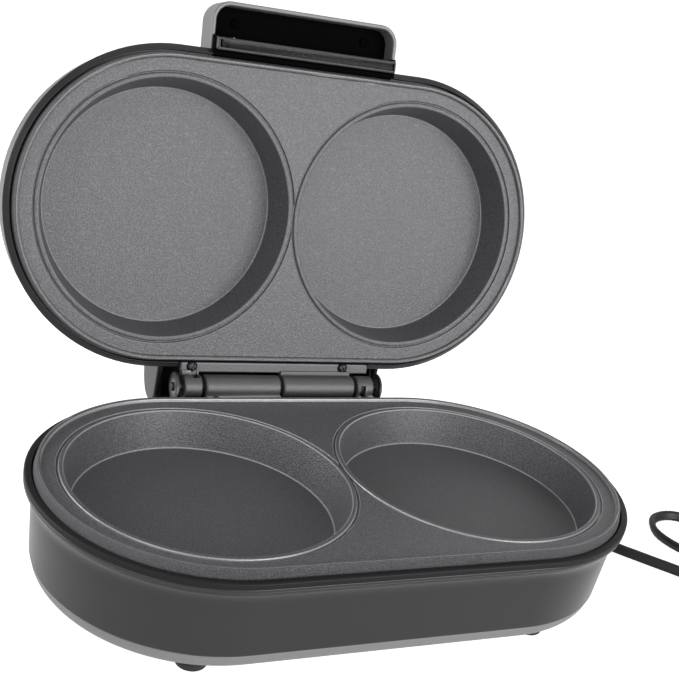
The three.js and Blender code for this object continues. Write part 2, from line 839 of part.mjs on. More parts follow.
function lidShell() {
  const inside = stadiumSolid([
    ...[...lidInnerProfile].reverse().slice(0, -2),
    ...bezelPocket,
  ]);
  const shell = stadiumSolid([...lidOuterProfile, ...lidInnerProfile]);
  const w = hoodHalfWidth;
  const hollow = block([-w + shellWall, hoodHollowBack, hoodHollowFloor], [w - shellWall, hoodFront + 10, 5]);
  const hood = cut(extrudedAlongX(hoodProfile, -w, w), hollow, inside);
  const posts = leafScrewPlaces(-1).map(([x, y]) => screwPost(x, y, lidSeatCut));
  const lensHoles = indicatorPlaces.map(([, x, y]) => turned(rod(3.8, crown - 2, crown + 6), 16, [x, y]));
  const leadWindow = block([-20, -(shoulderRadius + 2.6), -30], [20, hoodFront, -20]);
  return cut(
    joined(shell, hood, ...posts.map(([post]) => cut(post, inside))),
    leafNotch(-1, lidSeatCut),
    leadWindow,
    latchBay(fit, 10),
    ...posts.map(([, hole]) => hole),
    ...lensHoles,
  );
}

piece(lid, "lid_shell", lidShell(), finishes.shell);
piece(lid, "lid_bezel", bezel([leafNotch(-1, -20), latchBay(fit, 10)]), finishes.blackPlastic);
piece(lid, "upper_cooking_plate", cookingPlate(), finishes.coating).rotation.z = Math.PI;
piece(lid, "upper_heating_element", heatingElement(), finishes.steel).rotation.z = Math.PI;
piece(lid, "upper_reflector", reflector(), finishes.steel).rotation.z = Math.PI;

placed(
  piece(lid, "lid_hinge_leaf", hingeLeaf(), finishes.castAlloy),
  [0, -hingeSetback, hingeInLid],
  Math.PI,
);
for (const [i, [x, y]] of leafScrewPlaces(-1).entries()) {
  const name = `lid_hinge_screw_${["right", "left"][i]}`;
  placed(piece(lid, name, screw(leafScrewHead, 1.7, 1.5, 11), finishes.screw), [x, y, lidLeafTop + fit]);
}

const linerHalf = hoodHalfWidth - shellWall - fit;
const linerBack = hoodHollowBack + fit;
const linerFloor = hoodHollowFloor + fit;
piece(
  lid,
  "hinge_hood_liner",
  cut(
    block([-linerHalf, linerBack, linerFloor], [linerHalf, -(lipRadius + 1.5), -10.6]),
    block([-linerHalf + 1.2, linerBack + 1.3, linerFloor + 1.3], [linerHalf - 1.2, -shoulderRadius, 0]),
  ),
  finishes.blackPlastic,
);

// Hood-shaped handle: a rounded outline, hollow towards the plate side.
function roundedOutline(halfWidth, bottom, top, corner) {
  const shape = new THREE.Shape();
  shape.moveTo(-halfWidth, bottom);
  shape.lineTo(halfWidth, bottom);
  shape.lineTo(halfWidth, top - corner);
  shape.absarc(halfWidth - corner, top - corner, corner, 0, Math.PI / 2, false);
  shape.lineTo(-halfWidth + corner, top);
  shape.absarc(-halfWidth + corner, top - corner, corner, Math.PI / 2, Math.PI, false);
  shape.closePath();
  return shape;
}

function extrudedUp(shape, from, to) {
  const settings = { depth: to - from, bevelEnabled: false, curveSegments: 6 };
  return solid(new THREE.ExtrudeGeometry(shape, settings).translate(0, 0, from));
}

const housingClearance = (gap) =>
  stadiumSolid(lidOuterProfile.map(([radius, z]) => [radius + gap, z]).concat([[lipRadius + gap, 9]]));

function handleShell() {
  const outer = extrudedUp(
    roundedOutline(handleHalfWidth, lipRadius - 11.9, handleTop, handleCorner),
    handleBack,
    handleFront,
  );
  const wall = handleWall;
  const inner = extrudedUp(
    roundedOutline(handleHalfWidth - wall, lipRadius - 23.9, handleTop - wall, handleCorner - wall),
    handleBack + wall,
    handleFront + 1,
  );
  return cut(outer, inner, housingClearance(fit), latchBay(fit, 10));
}

// Black insert: the recess behind the handle's rim and the bay that the latch bar lies in.
function handleInsert() {
  const floor = lipTop - latchBayDepth;
  const wall = latchBayWall;
  const bay = cut(
    block([-latchBayHalfWidth, latchBayBottom, floor], [latchBayHalfWidth, latchBayTop, handleFront + 3.4]),
    block(
      [-latchBayHalfWidth + wall, latchBayBottom + 2.4, floor + 2],
      [latchBayHalfWidth - wall, latchBayTop + 1, handleFront + 9],
    ),
  );
  const half = handleHalfWidth - handleWall - fit;
  const panel = extrudedUp(
    roundedOutline(half, latchBayTop - 1, handleTop - handleWall - fit, handleCorner - handleWall - fit),
    floor,
    floor + 2,
  );
  const holes = handleScrewX.map((x) => turned(rod(1.7, floor - 1, floor + 3), 12, [x, handleTop - 10]));
  return cut(joined(bay, panel), ...holes);
}

piece(lid, "handle_shell", handleShell(), finishes.shell);
piece(lid, "handle_insert", handleInsert(), finishes.blackPlastic);
for (const [i, x] of handleScrewX.entries()) {
  const name = `handle_screw_${["left", "right"][i]}`;
  const fastener = piece(lid, name, screw(2.6, 1.5, 1.4, 6), finishes.screw);
  fastener.position.set(x, handleTop - 10, lipTop - latchBayDepth + 2 + fit);
}

for (const [name, x, y] of indicatorPlaces) {
  const lens = turned(
    [
      [0, crown - 1],
      [2.4, crown - 1],
      [3.5, crown - 0.2],
      [3.5, crown + shellWall + fit],
      [5, crown + shellWall + fit],
      [5, crown + shellWall + 1.3],
      [0, crown + shellWall + 1.3],
    ],
    16,
    [x, y],
  );
  piece(lid, `indicator_lens_${name}`, lens, name === "power" ? finishes.lens : finishes.greenLens);
  const lampZ = crown + shellWall + 1.3 + fit + 1.8;
  const lampProfile = [[0, y - 6], [1.8, y - 6], [1.8, y + 4], [0.8, y + 5.5], [0, y + 5.5]];
  const lamp = turnedAlong("y", lampProfile, 10, [x, 0, lampZ]);
  piece(lid, `indicator_lamp_${name}`, lamp, finishes.lamp);
}

// ---- latch --------------------------------------------------------------------------------------
const latchHalf = latchBayHalfWidth - latchBayWall - fit;
const barTop = latchAxisY + 1.6;
const barFront = handleFront + 6;

function latchBar() {
  const bar = cut(
    block([-latchHalf, barTop - latchBarWidth, barFront - latchBarDepth], [latchHalf, barTop, barFront]),
    block(
      [-latchHalf + 2.6, barTop - (latchBarWidth + latchSlotWidth) / 2, barFront - latchSlotDepth],
      [latchHalf - 2.6, barTop - (latchBarWidth - latchSlotWidth) / 2, barFront + 1],
    ),
  );
  const arms = [-1, 1].map((side) => {
    const inner = side * (latchHalf - 3);
    const outer = side * latchHalf;
    const from = Math.min(inner, outer);
    const to = Math.max(inner, outer);
    return joined(
      block([from, latchAxisY - 2.4, latchAxisZ], [to, barTop - 0.4, barFront - latchBarDepth + 1]),
      turnedAlong("x", rod(2.4, from, to), 16, [0, latchAxisY, latchAxisZ]),
    );
  });
  const bore = turnedAlong("x", rod(latchPinRadius + fit, -70, 70), 12, [0, latchAxisY, latchAxisZ]);
  return cut(joined(bar, ...arms), bore);
}
piece(lid, "latch_bar", latchBar(), finishes.castAlloy);
piece(
  lid,
  "latch_pin",
  turnedAlong("x", rod(latchPinRadius, -latchHalf, latchHalf), 12, [0, latchAxisY, latchAxisZ]),
  finishes.steel,
);

// Torsion spring on the latch pin: close turns of wire.
function latchSpring() {
  const turns = 5;
  const perTurn = 8;
  const wire = 0.45;
  const radius = latchPinRadius + fit + wire + 0.1;
  const points = Array.from({ length: turns * perTurn + 1 }, (_, i) => {
    const angle = (2 * Math.PI * i) / perTurn;
    return [
      -latchHalf + 6 + (i / perTurn) * (2 * wire + fit),
      latchAxisY + radius * Math.cos(angle),
      latchAxisZ + radius * Math.sin(angle),
    ];
  });
  return swept(points, roundSection(wire, 6), turns * perTurn);
}
piece(lid, "latch_spring", latchSpring(), finishes.steel);

// ---- whole appliance, standing on the middle of its box -----------------------------------------
const appliance = new THREE.Group();
appliance.add(base, lid);
appliance.updateMatrixWorld(true);
const standing = new THREE.Box3();
appliance.traverse((mesh) => {
  const onLead = cordNodes.includes(mesh) || mesh.name === "strain_relief";
  if (mesh.isMesh && !onLead) standing.expandByObject(mesh, true);
});
appliance.position.set(0, -(standing.min.y + standing.max.y) / 2, -floorZ);

const group = new THREE.Group();
group.add(appliance);
export default group;
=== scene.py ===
import math

import bmesh
import bpy
from mathutils import Matrix, Vector


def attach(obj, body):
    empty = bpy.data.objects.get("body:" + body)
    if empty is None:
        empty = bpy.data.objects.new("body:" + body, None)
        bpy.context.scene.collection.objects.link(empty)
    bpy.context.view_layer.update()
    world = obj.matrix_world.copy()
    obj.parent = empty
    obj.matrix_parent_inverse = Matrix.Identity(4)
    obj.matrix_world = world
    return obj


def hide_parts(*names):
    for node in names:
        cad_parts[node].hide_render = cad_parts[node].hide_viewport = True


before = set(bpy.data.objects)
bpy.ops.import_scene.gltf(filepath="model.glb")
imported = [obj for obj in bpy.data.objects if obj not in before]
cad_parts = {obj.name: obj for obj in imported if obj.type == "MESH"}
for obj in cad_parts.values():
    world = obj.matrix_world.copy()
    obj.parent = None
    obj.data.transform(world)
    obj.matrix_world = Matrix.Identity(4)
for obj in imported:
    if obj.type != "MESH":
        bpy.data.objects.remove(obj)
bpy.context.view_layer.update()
print("frame loaded")

mm = 0.001
# The drawing's zero: the middle of the lower plate, level with the mouths of its wells.
standing = Vector((0, -42.12177, 59.3)) * mm
baseFrame = Matrix.Translation(standing) @ Matrix.Scale(mm, 4)
hinge = {"setback": 93.2, "height": 1.0, "open": 102.35, "lidDrop": 4.1}

openTurn = math.radians(hinge["open"])
reach = hinge["lidDrop"] - hinge["height"]
lidPlace = Vector((
    0,
    hinge["setback"] * (1 - math.cos(openTurn)) + reach * math.sin(openTurn),
    hinge["height"] + hinge["setback"] * math.sin(openTurn) + reach * math.cos(openTurn),
))
lidFrame = baseFrame @ Matrix.Translation(lidPlace) @ Matrix.Rotation(math.pi - openTurn, 4, "X")

cameraSetup = {"place": (-260.235, -449.051, 261.325), "yaw": 27.9768, "pitch": -20.3659, "roll": 12.0096,
               "lens": 62.58, "shift": (0.0064, -0.0043)}


def makeCamera(setup):
    yaw, pitch, roll = (math.radians(setup[key]) for key in ("yaw", "pitch", "roll"))
    ahead = Vector((math.sin(yaw) * math.cos(pitch), math.cos(yaw) * math.cos(pitch), math.sin(pitch)))
    level = Vector((math.cos(yaw), -math.sin(yaw), 0))
    upright = level.cross(ahead)
    right = level * math.cos(roll) + upright * math.sin(roll)
    up = upright * math.cos(roll) - level * math.sin(roll)
    camera = bpy.data.objects.new("camera", bpy.data.cameras.new("camera"))
    turn = Matrix((right, up, -ahead)).transposed().to_4x4()
    camera.matrix_world = Matrix.Translation(baseFrame @ Vector(setup["place"])) @ turn
    camera.data.lens = setup["lens"]
    camera.data.shift_x, camera.data.shift_y = setup["shift"]
    camera.data.clip_start = 0.02
    bpy.context.scene.collection.objects.link(camera)
    bpy.context.scene.camera = camera


makeCamera(cameraSetup)
print("camera placed")


# Shaping tools. Everything is drawn in millimetres and moved into place at the end.
# A line of (a, b, trim): each corner is trimmed back and curved.
def rounded(corners, steps=3, closed=False):
    line = []
    count = len(corners)
    for i, corner in enumerate(corners):
        here = Vector(corner[:2])
        trim = corner[2] if len(corner) > 2 else 0
        if trim <= 0 or (not closed and i in (0, count - 1)):
            line.append(here)
            continue
        before = Vector(corners[i - 1][:2]) - here
        after = Vector(corners[(i + 1) % count][:2]) - here
        start = here + before.normalized() * min(trim, before.length * 0.49)
        end = here + after.normalized() * min(trim, after.length * 0.49)
        for k in range(steps + 1):
            t = k / steps
            line.append(start * (1 - t) ** 2 + here * 2 * t * (1 - t) + end * t * t)
    return [(p.x, p.y) for p in line]


def stadiumRing(radius, z, steps=48, spacing=140):
    ring = []
    for side in (1, -1):
        for i in range(steps + 1):
            angle = -math.pi / 2 + math.pi * i / steps
            ring.append((side * (spacing / 2 + radius * math.cos(angle)), side * radius * math.sin(angle), z))
    return ring


def loft(bm, rings, loop=False, caps=False):
    rows = [[bm.verts.new(point) for point in ring] for ring in rings]
    count = len(rings[0])
    for low, high in zip(rows, rows[1:] + rows[:1] if loop else rows[1:]):
        for i in range(count):
            j = (i + 1) % count
            bm.faces.new((low[i], low[j], high[j], high[i]))
    if caps:
        bm.faces.new(reversed(rows[0]))
        bm.faces.new(rows[-1])


def stadiumLoft(bm, profile, loop=False, caps=False, steps=48):
    loft(bm, [stadiumRing(radius, z, steps) for radius, z in profile], loop, caps)


def turn(bm, profile, centre=(0, 0, 0), axis="z", steps=64, loop=False, caps=True):
    places = {
        "x": lambda r, along, a: (along, r * math.cos(a), r * math.sin(a)),
        "y": lambda r, along, a: (r * math.sin(a), along, r * math.cos(a)),
        "z": lambda r, along, a: (r * math.cos(a), r * math.sin(a), along),
    }
    rings = [
        [Vector(places[axis](r, along, 2 * math.pi * i / steps)) + Vector(centre) for i in range(steps)]
        for r, along in profile
    ]
    loft(bm, rings, loop, caps and not loop)


def boxed(bm, low, high, bevel=0.0, segments=2):
    size = Vector(high) - Vector(low)
    made = bmesh.ops.create_cube(bm, size=1)["verts"]
    for vert in made:
        vert.co = Vector(low) + Vector((size[k] * (vert.co[k] + 0.5) for k in range(3)))
    if bevel:
        edges = list({edge for vert in made for edge in vert.link_edges})
        bmesh.ops.bevel(bm, geom=edges, offset=bevel, segments=segments, profile=0.6, affect="EDGES")


def drawnAlongX(bm, outline, x0, x1):  # outline of (y, z)
    loft(bm, [[(x, y, z) for y, z in outline] for x in (x0, x1)], caps=True)


def rawPiece(name, build):
    bm = bmesh.new()
    build(bm)
    bmesh.ops.remove_doubles(bm, verts=bm.verts, dist=0.002)
    bmesh.ops.recalc_face_normals(bm, faces=bm.faces)
    mesh = bpy.data.meshes.new(name)
    bm.to_mesh(mesh)
    bm.free()
    made = bpy.data.objects.new(name, mesh)
    bpy.context.scene.collection.objects.link(made)
    return made


def settled(made):  # the mesh as its modifiers leave it
    bpy.context.view_layer.update()
    mesh = bpy.data.meshes.new_from_object(made.evaluated_get(bpy.context.evaluated_depsgraph_get()))
    old = made.data
    made.modifiers.clear()
    made.data = mesh
    mesh.name = made.name
    bpy.data.meshes.remove(old)
    return made


def carve(made, *builds, operation="DIFFERENCE"):
    cutters = [rawPiece("cutter", build) for build in builds]
    for cutter in cutters:
        modifier = made.modifiers.new("cut", "BOOLEAN")
        modifier.operation = operation
        modifier.solver = "EXACT"
        modifier.object = cutter
    settled(made)
    for cutter in cutters:
        mesh = cutter.data
        bpy.data.objects.remove(cutter)
        bpy.data.meshes.remove(mesh)
    return made


def softenEdges(made, width, angle=38, segments=2):
    modifier = made.modifiers.new("soften", "BEVEL")
    modifier.width = width
    modifier.segments = segments
    modifier.limit_method = "ANGLE"
    modifier.angle_limit = math.radians(angle)
    modifier.use_clamp_overlap = True
    modifier.miter_outer = "MITER_ARC"
    return settled(made)


def finishPiece(made, place, body, looks, replaces=(), sharp=32):
    mesh = made.data
    mesh.transform(place)
    for finish in [looks] if isinstance(looks, str) else looks:
        mesh.materials.append(finishes[finish])
    mesh.shade_smooth()
    mesh.set_sharp_from_angle(angle=math.radians(sharp))
    weighted = made.modifiers.new("weighted", "WEIGHTED_NORMAL")
    weighted.keep_sharp = True
    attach(made, body)
    if replaces:
        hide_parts(*replaces)
    return made


# Shared effects, each one a group that the materials set up with their own values.
def newGroup(name, inputs, outputs):
    group = bpy.data.node_groups.new(name, "ShaderNodeTree")
    for label, kind, value in inputs:
        socket = group.interface.new_socket(label, in_out="INPUT", socket_type=kind)
        if value is not None:
            socket.default_value = value
    for label, kind in outputs:
        group.interface.new_socket(label, in_out="OUTPUT", socket_type=kind)
    return group, group.nodes.new("NodeGroupInput"), group.nodes.new("NodeGroupOutput")


def wire(tree, first, outgoing, second, incoming):
    tree.links.new(first.outputs[outgoing], second.inputs[incoming])


def addNode(tree, kind, settings=(), values=()):
    node = tree.nodes.new(kind)
    for key, value in dict(settings).items():
        setattr(node, key, value)
    for key, value in dict(values).items():
        node.inputs[key].default_value = value
    return node


def makeGrainGroup():  # fine even grain of a moulded, cast or sprayed surface
    group, given, out = newGroup(
        "surfaceGrain", [("Scale", "NodeSocketFloat", 2000.0), ("Softness", "NodeSocketFloat", 0.5)],
        [("Grain", "NodeSocketFloat")],
    )
    place = addNode(group, "ShaderNodeTexCoord")
    fine = addNode(group, "ShaderNodeTexNoise", {"noise_dimensions": "3D"}, {"Detail": 2.0, "Roughness": 0.6})
    steep = addNode(
        group, "ShaderNodeMapRange", {"interpolation_type": "SMOOTHSTEP"},
        {"From Min": 0.3, "From Max": 0.7},
    )
    mix = addNode(group, "ShaderNodeMix", {"data_type": "FLOAT"})
    wire(group, place, "Object", fine, "Vector")
    wire(group, given, "Scale", fine, "Scale")
    wire(group, fine, "Fac", steep, "Value")
    wire(group, given, "Softness", mix, "Factor")
    wire(group, steep, "Result", mix, "A")
    wire(group, fine, "Fac", mix, "B")
    wire(group, mix, "Result", out, "Grain")
    return group


def makeFlakeGroup():  # bright specks of metal in a coating
    group, given, out = newGroup(
        "metalFlake", [("Scale", "NodeSocketFloat", 1800.0), ("Amount", "NodeSocketFloat", 0.2)],
        [("Flake", "NodeSocketFloat")],
    )
    place = addNode(group, "ShaderNodeTexCoord")
    cells = addNode(group, "ShaderNodeTexVoronoi", {"feature": "F1"})
    split = addNode(group, "ShaderNodeSeparateColor")
    limit = addNode(group, "ShaderNodeMath", {"operation": "SUBTRACT"}, {0: 1.0})
    ramp = addNode(group, "ShaderNodeMapRange", {"interpolation_type": "SMOOTHSTEP"}, {"From Max": 1.0})
    wire(group, place, "Object", cells, "Vector")
    wire(group, given, "Scale", cells, "Scale")
    wire(group, cells, "Color", split, "Color")
    wire(group, given, "Amount", limit, 1)
    wire(group, split, "Red", ramp, "Value")
    wire(group, limit, "Value", ramp, "From Min")
    wire(group, ramp, "Result", out, "Flake")
    return group


def makeHandlingGroup():  # slow unevenness left by moulding and handling
    group, given, out = newGroup(
        "handling", [("Scale", "NodeSocketFloat", 30.0), ("Contrast", "NodeSocketFloat", 0.5)],
        [("Patch", "NodeSocketFloat")],
    )
    place = addNode(group, "ShaderNodeTexCoord")
    slow = addNode(
        group, "ShaderNodeTexNoise", {"noise_dimensions": "3D"}, {"Detail": 4.0, "Roughness": 0.55},
    )
    low = addNode(group, "ShaderNodeMath", {"operation": "MULTIPLY_ADD"}, {1: 0.5, 2: 0.0})
    high = addNode(group, "ShaderNodeMath", {"operation": "SUBTRACT"}, {0: 1.0})
    ramp = addNode(group, "ShaderNodeMapRange")
    wire(group, place, "Object", slow, "Vector")
    wire(group, given, "Scale", slow, "Scale")
    wire(group, given, "Contrast", low, 0)
    wire(group, low, "Value", high, 1)
    wire(group, slow, "Fac", ramp, "Value")
    wire(group, low, "Value", ramp, "From Min")
    wire(group, high, "Value", ramp, "From Max")
    wire(group, ramp, "Result", out, "Patch")
    return group


def makeEdgeHighlightGroup():  # painted highlight on edges, from how sharply the surface turns
    group, given, out = newGroup(
        "edgeHighlight", [("Start", "NodeSocketFloat", 0.52), ("End", "NodeSocketFloat", 0.6)],
        [("Edge", "NodeSocketFloat")],
    )
    shape = addNode(group, "ShaderNodeNewGeometry")
    ramp = addNode(group, "ShaderNodeMapRange", {"interpolation_type": "SMOOTHSTEP"})
    wire(group, shape, "Pointiness", ramp, "Value")
    wire(group, given, "Start", ramp, "From Min")
    wire(group, given, "End", ramp, "From Max")
    wire(group, ramp, "Result", out, "Edge")
    return group


effects = {
    "grain": makeGrainGroup(),
    "flake": makeFlakeGroup(),
    "handling": makeHandlingGroup(),
    "edge": makeEdgeHighlightGroup(),
}


def placeEffect(tree, name, **values):
    node = tree.nodes.new("ShaderNodeGroup")
    node.node_tree = effects[name]
    for key, value in values.items():
        node.inputs[key].default_value = value
    return node


def blendColour(tree, factor, first, second):  # first and second are colours or sockets
    node = tree.nodes.new("ShaderNodeMix")
    node.data_type = "RGBA"
    tree.links.new(factor, node.inputs["Factor"])
    for key, value in ((6, first), (7, second)):
        if isinstance(value, tuple):
            node.inputs[key].default_value = (*value, 1)
        else:
            tree.links.new(value, node.inputs[key])
    return node.outputs[2]


def scaled(tree, value, low, high):
    node = tree.nodes.new("ShaderNodeMapRange")
    node.inputs["To Min"].default_value = low
    node.inputs["To Max"].default_value = high
    tree.links.new(value, node.inputs["Value"])
    return node.outputs["Result"]


def makeFinish(name, look):
    material = bpy.data.materials.new(name)
    material.use_nodes = True
    tree = material.node_tree
    shader = tree.nodes["Principled BSDF"]
    grain = placeEffect(tree, "grain", Scale=look["grainScale"], Softness=look.get("softness", 0.5))
    patch = placeEffect(
        tree, "handling", Scale=look.get("patchScale", 25.0), Contrast=look.get("patchContrast", 0.5),
    )
    shadow = tuple(c * look.get("shade", 0.85) for c in look["colour"])
    colour = blendColour(tree, patch.outputs["Patch"], shadow, look["colour"])
    fleck = tuple(c * look.get("fleck", 1.15) for c in look["colour"])
    colour = blendColour(
        tree, scaled(tree, grain.outputs["Grain"], 0, look.get("grainTint", 0.5)), colour, fleck,
    )
    if "flakeColour" in look:
        flake = placeEffect(tree, "flake", Scale=look["flakeScale"], Amount=look["flakeAmount"])
        colour = blendColour(tree, flake.outputs["Flake"], colour, look["flakeColour"])
    # painted highlight: edges lightened where the surface turns sharply
    if "edgeHighlightColour" in look:
        edge = placeEffect(tree, "edge", Start=look["edgeStart"], End=look["edgeEnd"])
        colour = blendColour(tree, edge.outputs["Edge"], colour, look["edgeHighlightColour"])
    tree.links.new(colour, shader.inputs["Base Color"])
    low, high = look["roughness"]
    spread = tree.nodes.new("ShaderNodeMix")
    spread.inputs["Factor"].default_value = look.get("roughnessFromGrain", 0.35)
    wire(tree, patch, "Patch", spread, "A")
    wire(tree, grain, "Grain", spread, "B")
    tree.links.new(scaled(tree, spread.outputs["Result"], low, high), shader.inputs["Roughness"])
    bump = tree.nodes.new("ShaderNodeBump")
    bump.inputs["Strength"].default_value = look.get("bump", 0.4)
    bump.inputs["Distance"].default_value = look.get("bumpDepth", 0.0001)
    wire(tree, grain, "Grain", bump, "Height")
    wire(tree, bump, "Normal", shader, "Normal")
    shader.inputs["Metallic"].default_value = look.get("metallic", 0.0)
    shader.inputs["Specular IOR Level"].default_value = look.get("specular", 0.5)
    shader.inputs["Transmission Weight"].default_value = look.get("clear", 0.0)
    return material


# painted highlight along the edges of the latch bar and hinge leaves
silverEdgeHighlight = {"edgeHighlightColour": (0.42, 0.42, 0.43), "edgeStart": 0.54, "edgeEnd": 0.64}
glossyShell = {"colour": (0.014, 0.014, 0.015), "shade": 0.94, "fleck": 1.06, "grainScale": 900.0,
               "roughness": (0.2, 0.28), "bump": 0.05, "bumpDepth": 0.00005, "patchScale": 18.0}
lampLens = {"shade": 0.9, "fleck": 1.05, "grainScale": 900.0, "roughness": (0.08, 0.14), "clear": 0.5,
        "bump": 0.05, "bumpDepth": 0.00003, "patchScale": 120.0}
finishLooks = {
    "plateCoating": {
        "colour": (0.0705, 0.0705, 0.074), "shade": 0.88, "fleck": 2.3, "grainTint": 0.8,
        "grainScale": 1250.0, "softness": 0.05, "flakeColour": (0.15, 0.15, 0.155), "flakeScale": 3000.0,
        # painted highlight on the plate's sharp edges
        "flakeAmount": 0.07, "edgeHighlightColour": (0.3, 0.3, 0.31), "edgeStart": 0.53, "edgeEnd": 0.6,
        "roughness": (0.38, 0.5), "metallic": 0.3, "bump": 0.8, "bumpDepth": 0.00014, "patchScale": 14.0,
        "roughnessFromGrain": 0.6,
    },
    # painted highlight: light bands along the ring, groove and rim edges of the lower plate
    "paintedHighlightBand": {
        "colour": (0.34, 0.34, 0.35), "shade": 0.7, "fleck": 1.3, "grainTint": 0.8, "grainScale": 1500.0,
        "roughness": (0.28, 0.4), "metallic": 0.35, "patchScale": 40.0,
    },
    # painted highlight, dimmer: the same bands on the upper plate
    "paintedDimHighlightBand": {
        "colour": (0.14, 0.14, 0.15), "shade": 0.7, "fleck": 1.4, "grainTint": 0.8, "grainScale": 1500.0,
        "roughness": (0.3, 0.42), "metallic": 0.4, "patchScale": 40.0,
    },
    # painted shade: a dark fill in the bottom of the latch slot, standing in for its shadow
    "slotLining": {
        "colour": (0.022, 0.018, 0.017), "shade": 0.4, "fleck": 1.8, "grainTint": 0.9, "grainScale": 700.0,
        "roughness": (0.6, 0.75), "specular": 0.2, "bump": 0.9, "bumpDepth": 0.0006, "patchScale": 120.0,
    },
    # painted highlight on the housing's sharp edges
    "housing": {**glossyShell, "edgeHighlightColour": (0.14, 0.14, 0.145), "edgeStart": 0.55, "edgeEnd": 0.66},
    "lidHousing": {**glossyShell},
    "lidTrim": {**glossyShell, "colour": (0.01, 0.01, 0.011), "roughness": (0.26, 0.34), "specular": 0.3},
    "coverGrey": {
        "colour": (0.2, 0.2, 0.203), "shade": 0.92, "fleck": 1.12, "grainScale": 1500.0,
        "roughness": (0.42, 0.55), "bump": 0.3, "patchScale": 20.0,
    },
    "blackSatin": {
        "colour": (0.012, 0.012, 0.013), "shade": 0.8, "fleck": 1.4, "grainScale": 1700.0,
        "roughness": (0.42, 0.56), "specular": 0.15, "bump": 0.35, "bumpDepth": 0.00008, "patchScale": 30.0,
    },
    "railGrey": {
        **silverEdgeHighlight, "colour": (0.05, 0.05, 0.052), "shade": 0.7, "fleck": 1.3, "grainScale": 1300.0,
        "roughness": (0.4, 0.55), "metallic": 0.6, "bump": 0.5, "bumpDepth": 0.00014, "patchScale": 60.0,
    },
    "brightSteel": {
        "colour": (0.58, 0.58, 0.59), "shade": 0.9, "fleck": 1.05, "grainScale": 1200.0,
        "roughness": (0.2, 0.34), "metallic": 1.0, "bump": 0.1, "bumpDepth": 0.00004, "patchScale": 80.0,
    },
    "blackScrew": {
        "colour": (0.03, 0.03, 0.033), "shade": 0.8, "fleck": 1.3, "grainScale": 2200.0,
        "roughness": (0.3, 0.42), "metallic": 0.8, "bump": 0.2, "bumpDepth": 0.00005, "patchScale": 200.0,
        # painted highlight on the screw heads' edges
        "edgeHighlightColour": (0.16, 0.16, 0.165), "edgeStart": 0.56, "edgeEnd": 0.68,
    },
    "darkWasher": {
        "colour": (0.05, 0.05, 0.052), "shade": 0.8, "fleck": 1.2, "grainScale": 1500.0,
        "roughness": (0.35, 0.5), "metallic": 0.7, "bump": 0.15, "bumpDepth": 0.00005, "patchScale": 90.0,
        # painted highlight: the thin bright edge on the hinge discs and pin
        "edgeHighlightColour": (0.5, 0.5, 0.51), "edgeStart": 0.54, "edgeEnd": 0.62,
    },
    "footRubber": {
        "colour": (0.012, 0.012, 0.012), "shade": 0.75, "fleck": 1.5, "grainScale": 1600.0,
        "roughness": (0.6, 0.8), "bump": 0.45, "patchScale": 90.0,
    },
    "cordJacket": {
        "colour": (0.007, 0.007, 0.0075), "shade": 0.8, "fleck": 1.3, "grainScale": 1400.0,
        "roughness": (0.38, 0.5), "specular": 0.3, "bump": 0.2, "bumpDepth": 0.00006, "patchScale": 120.0,
    },
    "plugPin": {
        "colour": (0.7, 0.52, 0.26), "fleck": 1.08, "grainScale": 1800.0, "roughness": (0.22, 0.34),
        "metallic": 1.0, "bump": 0.1, "bumpDepth": 0.00004, "patchScale": 150.0,
    },
    "whiteMoulding": {
        "colour": (0.66, 0.62, 0.54), "shade": 0.9, "fleck": 1.05, "grainScale": 1500.0,
        "roughness": (0.55, 0.7), "bump": 0.3, "patchScale": 60.0,
    },
    "redLens": {**lampLens, "colour": (0.42, 0.02, 0.015)},
    "greenLens": {**lampLens, "colour": (0.03, 0.3, 0.07)},
    "lampSleeve": {**lampLens, "colour": (0.6, 0.2, 0.1), "roughness": (0.2, 0.3), "clear": 0.0},
    "castSkirt": {
        "colour": (0.075, 0.075, 0.079), "shade": 0.7, "fleck": 2.0, "grainTint": 0.9, "grainScale": 1900.0,
        "softness": 0.2, "roughness": (0.45, 0.62), "metallic": 0.4, "bump": 1.0, "bumpDepth": 0.0004,
        "patchScale": 60.0, "roughnessFromGrain": 0.6,
    },
    "handleShell": {**glossyShell, "colour": (0.14, 0.14, 0.142), "roughness": (0.32, 0.4)},
    # the insert's own black, darkened further as painted shade of the recess under the handle
    "recessBlack": {
        "colour": (0.0015, 0.0015, 0.0016), "shade": 0.8, "fleck": 1.4, "grainScale": 1600.0,
        "roughness": (0.7, 0.8), "specular": 0.02, "patchScale": 30.0,
    },
    "hingeCast": {
        **silverEdgeHighlight, "colour": (0.1, 0.1, 0.102), "shade": 0.8, "fleck": 1.3, "grainScale": 1700.0,
        "roughness": (0.42, 0.54), "metallic": 0.55, "bump": 0.5, "bumpDepth": 0.00014, "patchScale": 60.0,
    },
    "elementSheath": {
        "colour": (0.12, 0.1, 0.09), "shade": 0.7, "fleck": 1.2, "grainScale": 900.0,
        "roughness": (0.4, 0.6), "metallic": 0.8, "bump": 0.3, "patchScale": 40.0,
    },
    "pressedSheet": {
        "colour": (0.5, 0.5, 0.5), "fleck": 1.08, "grainScale": 700.0, "roughness": (0.25, 0.4),
        "metallic": 1.0, "bump": 0.15, "bumpDepth": 0.00006, "patchScale": 18.0,
    },
}
finishes = {name: makeFinish(name, look) for name, look in finishLooks.items()}
print("finishes made")

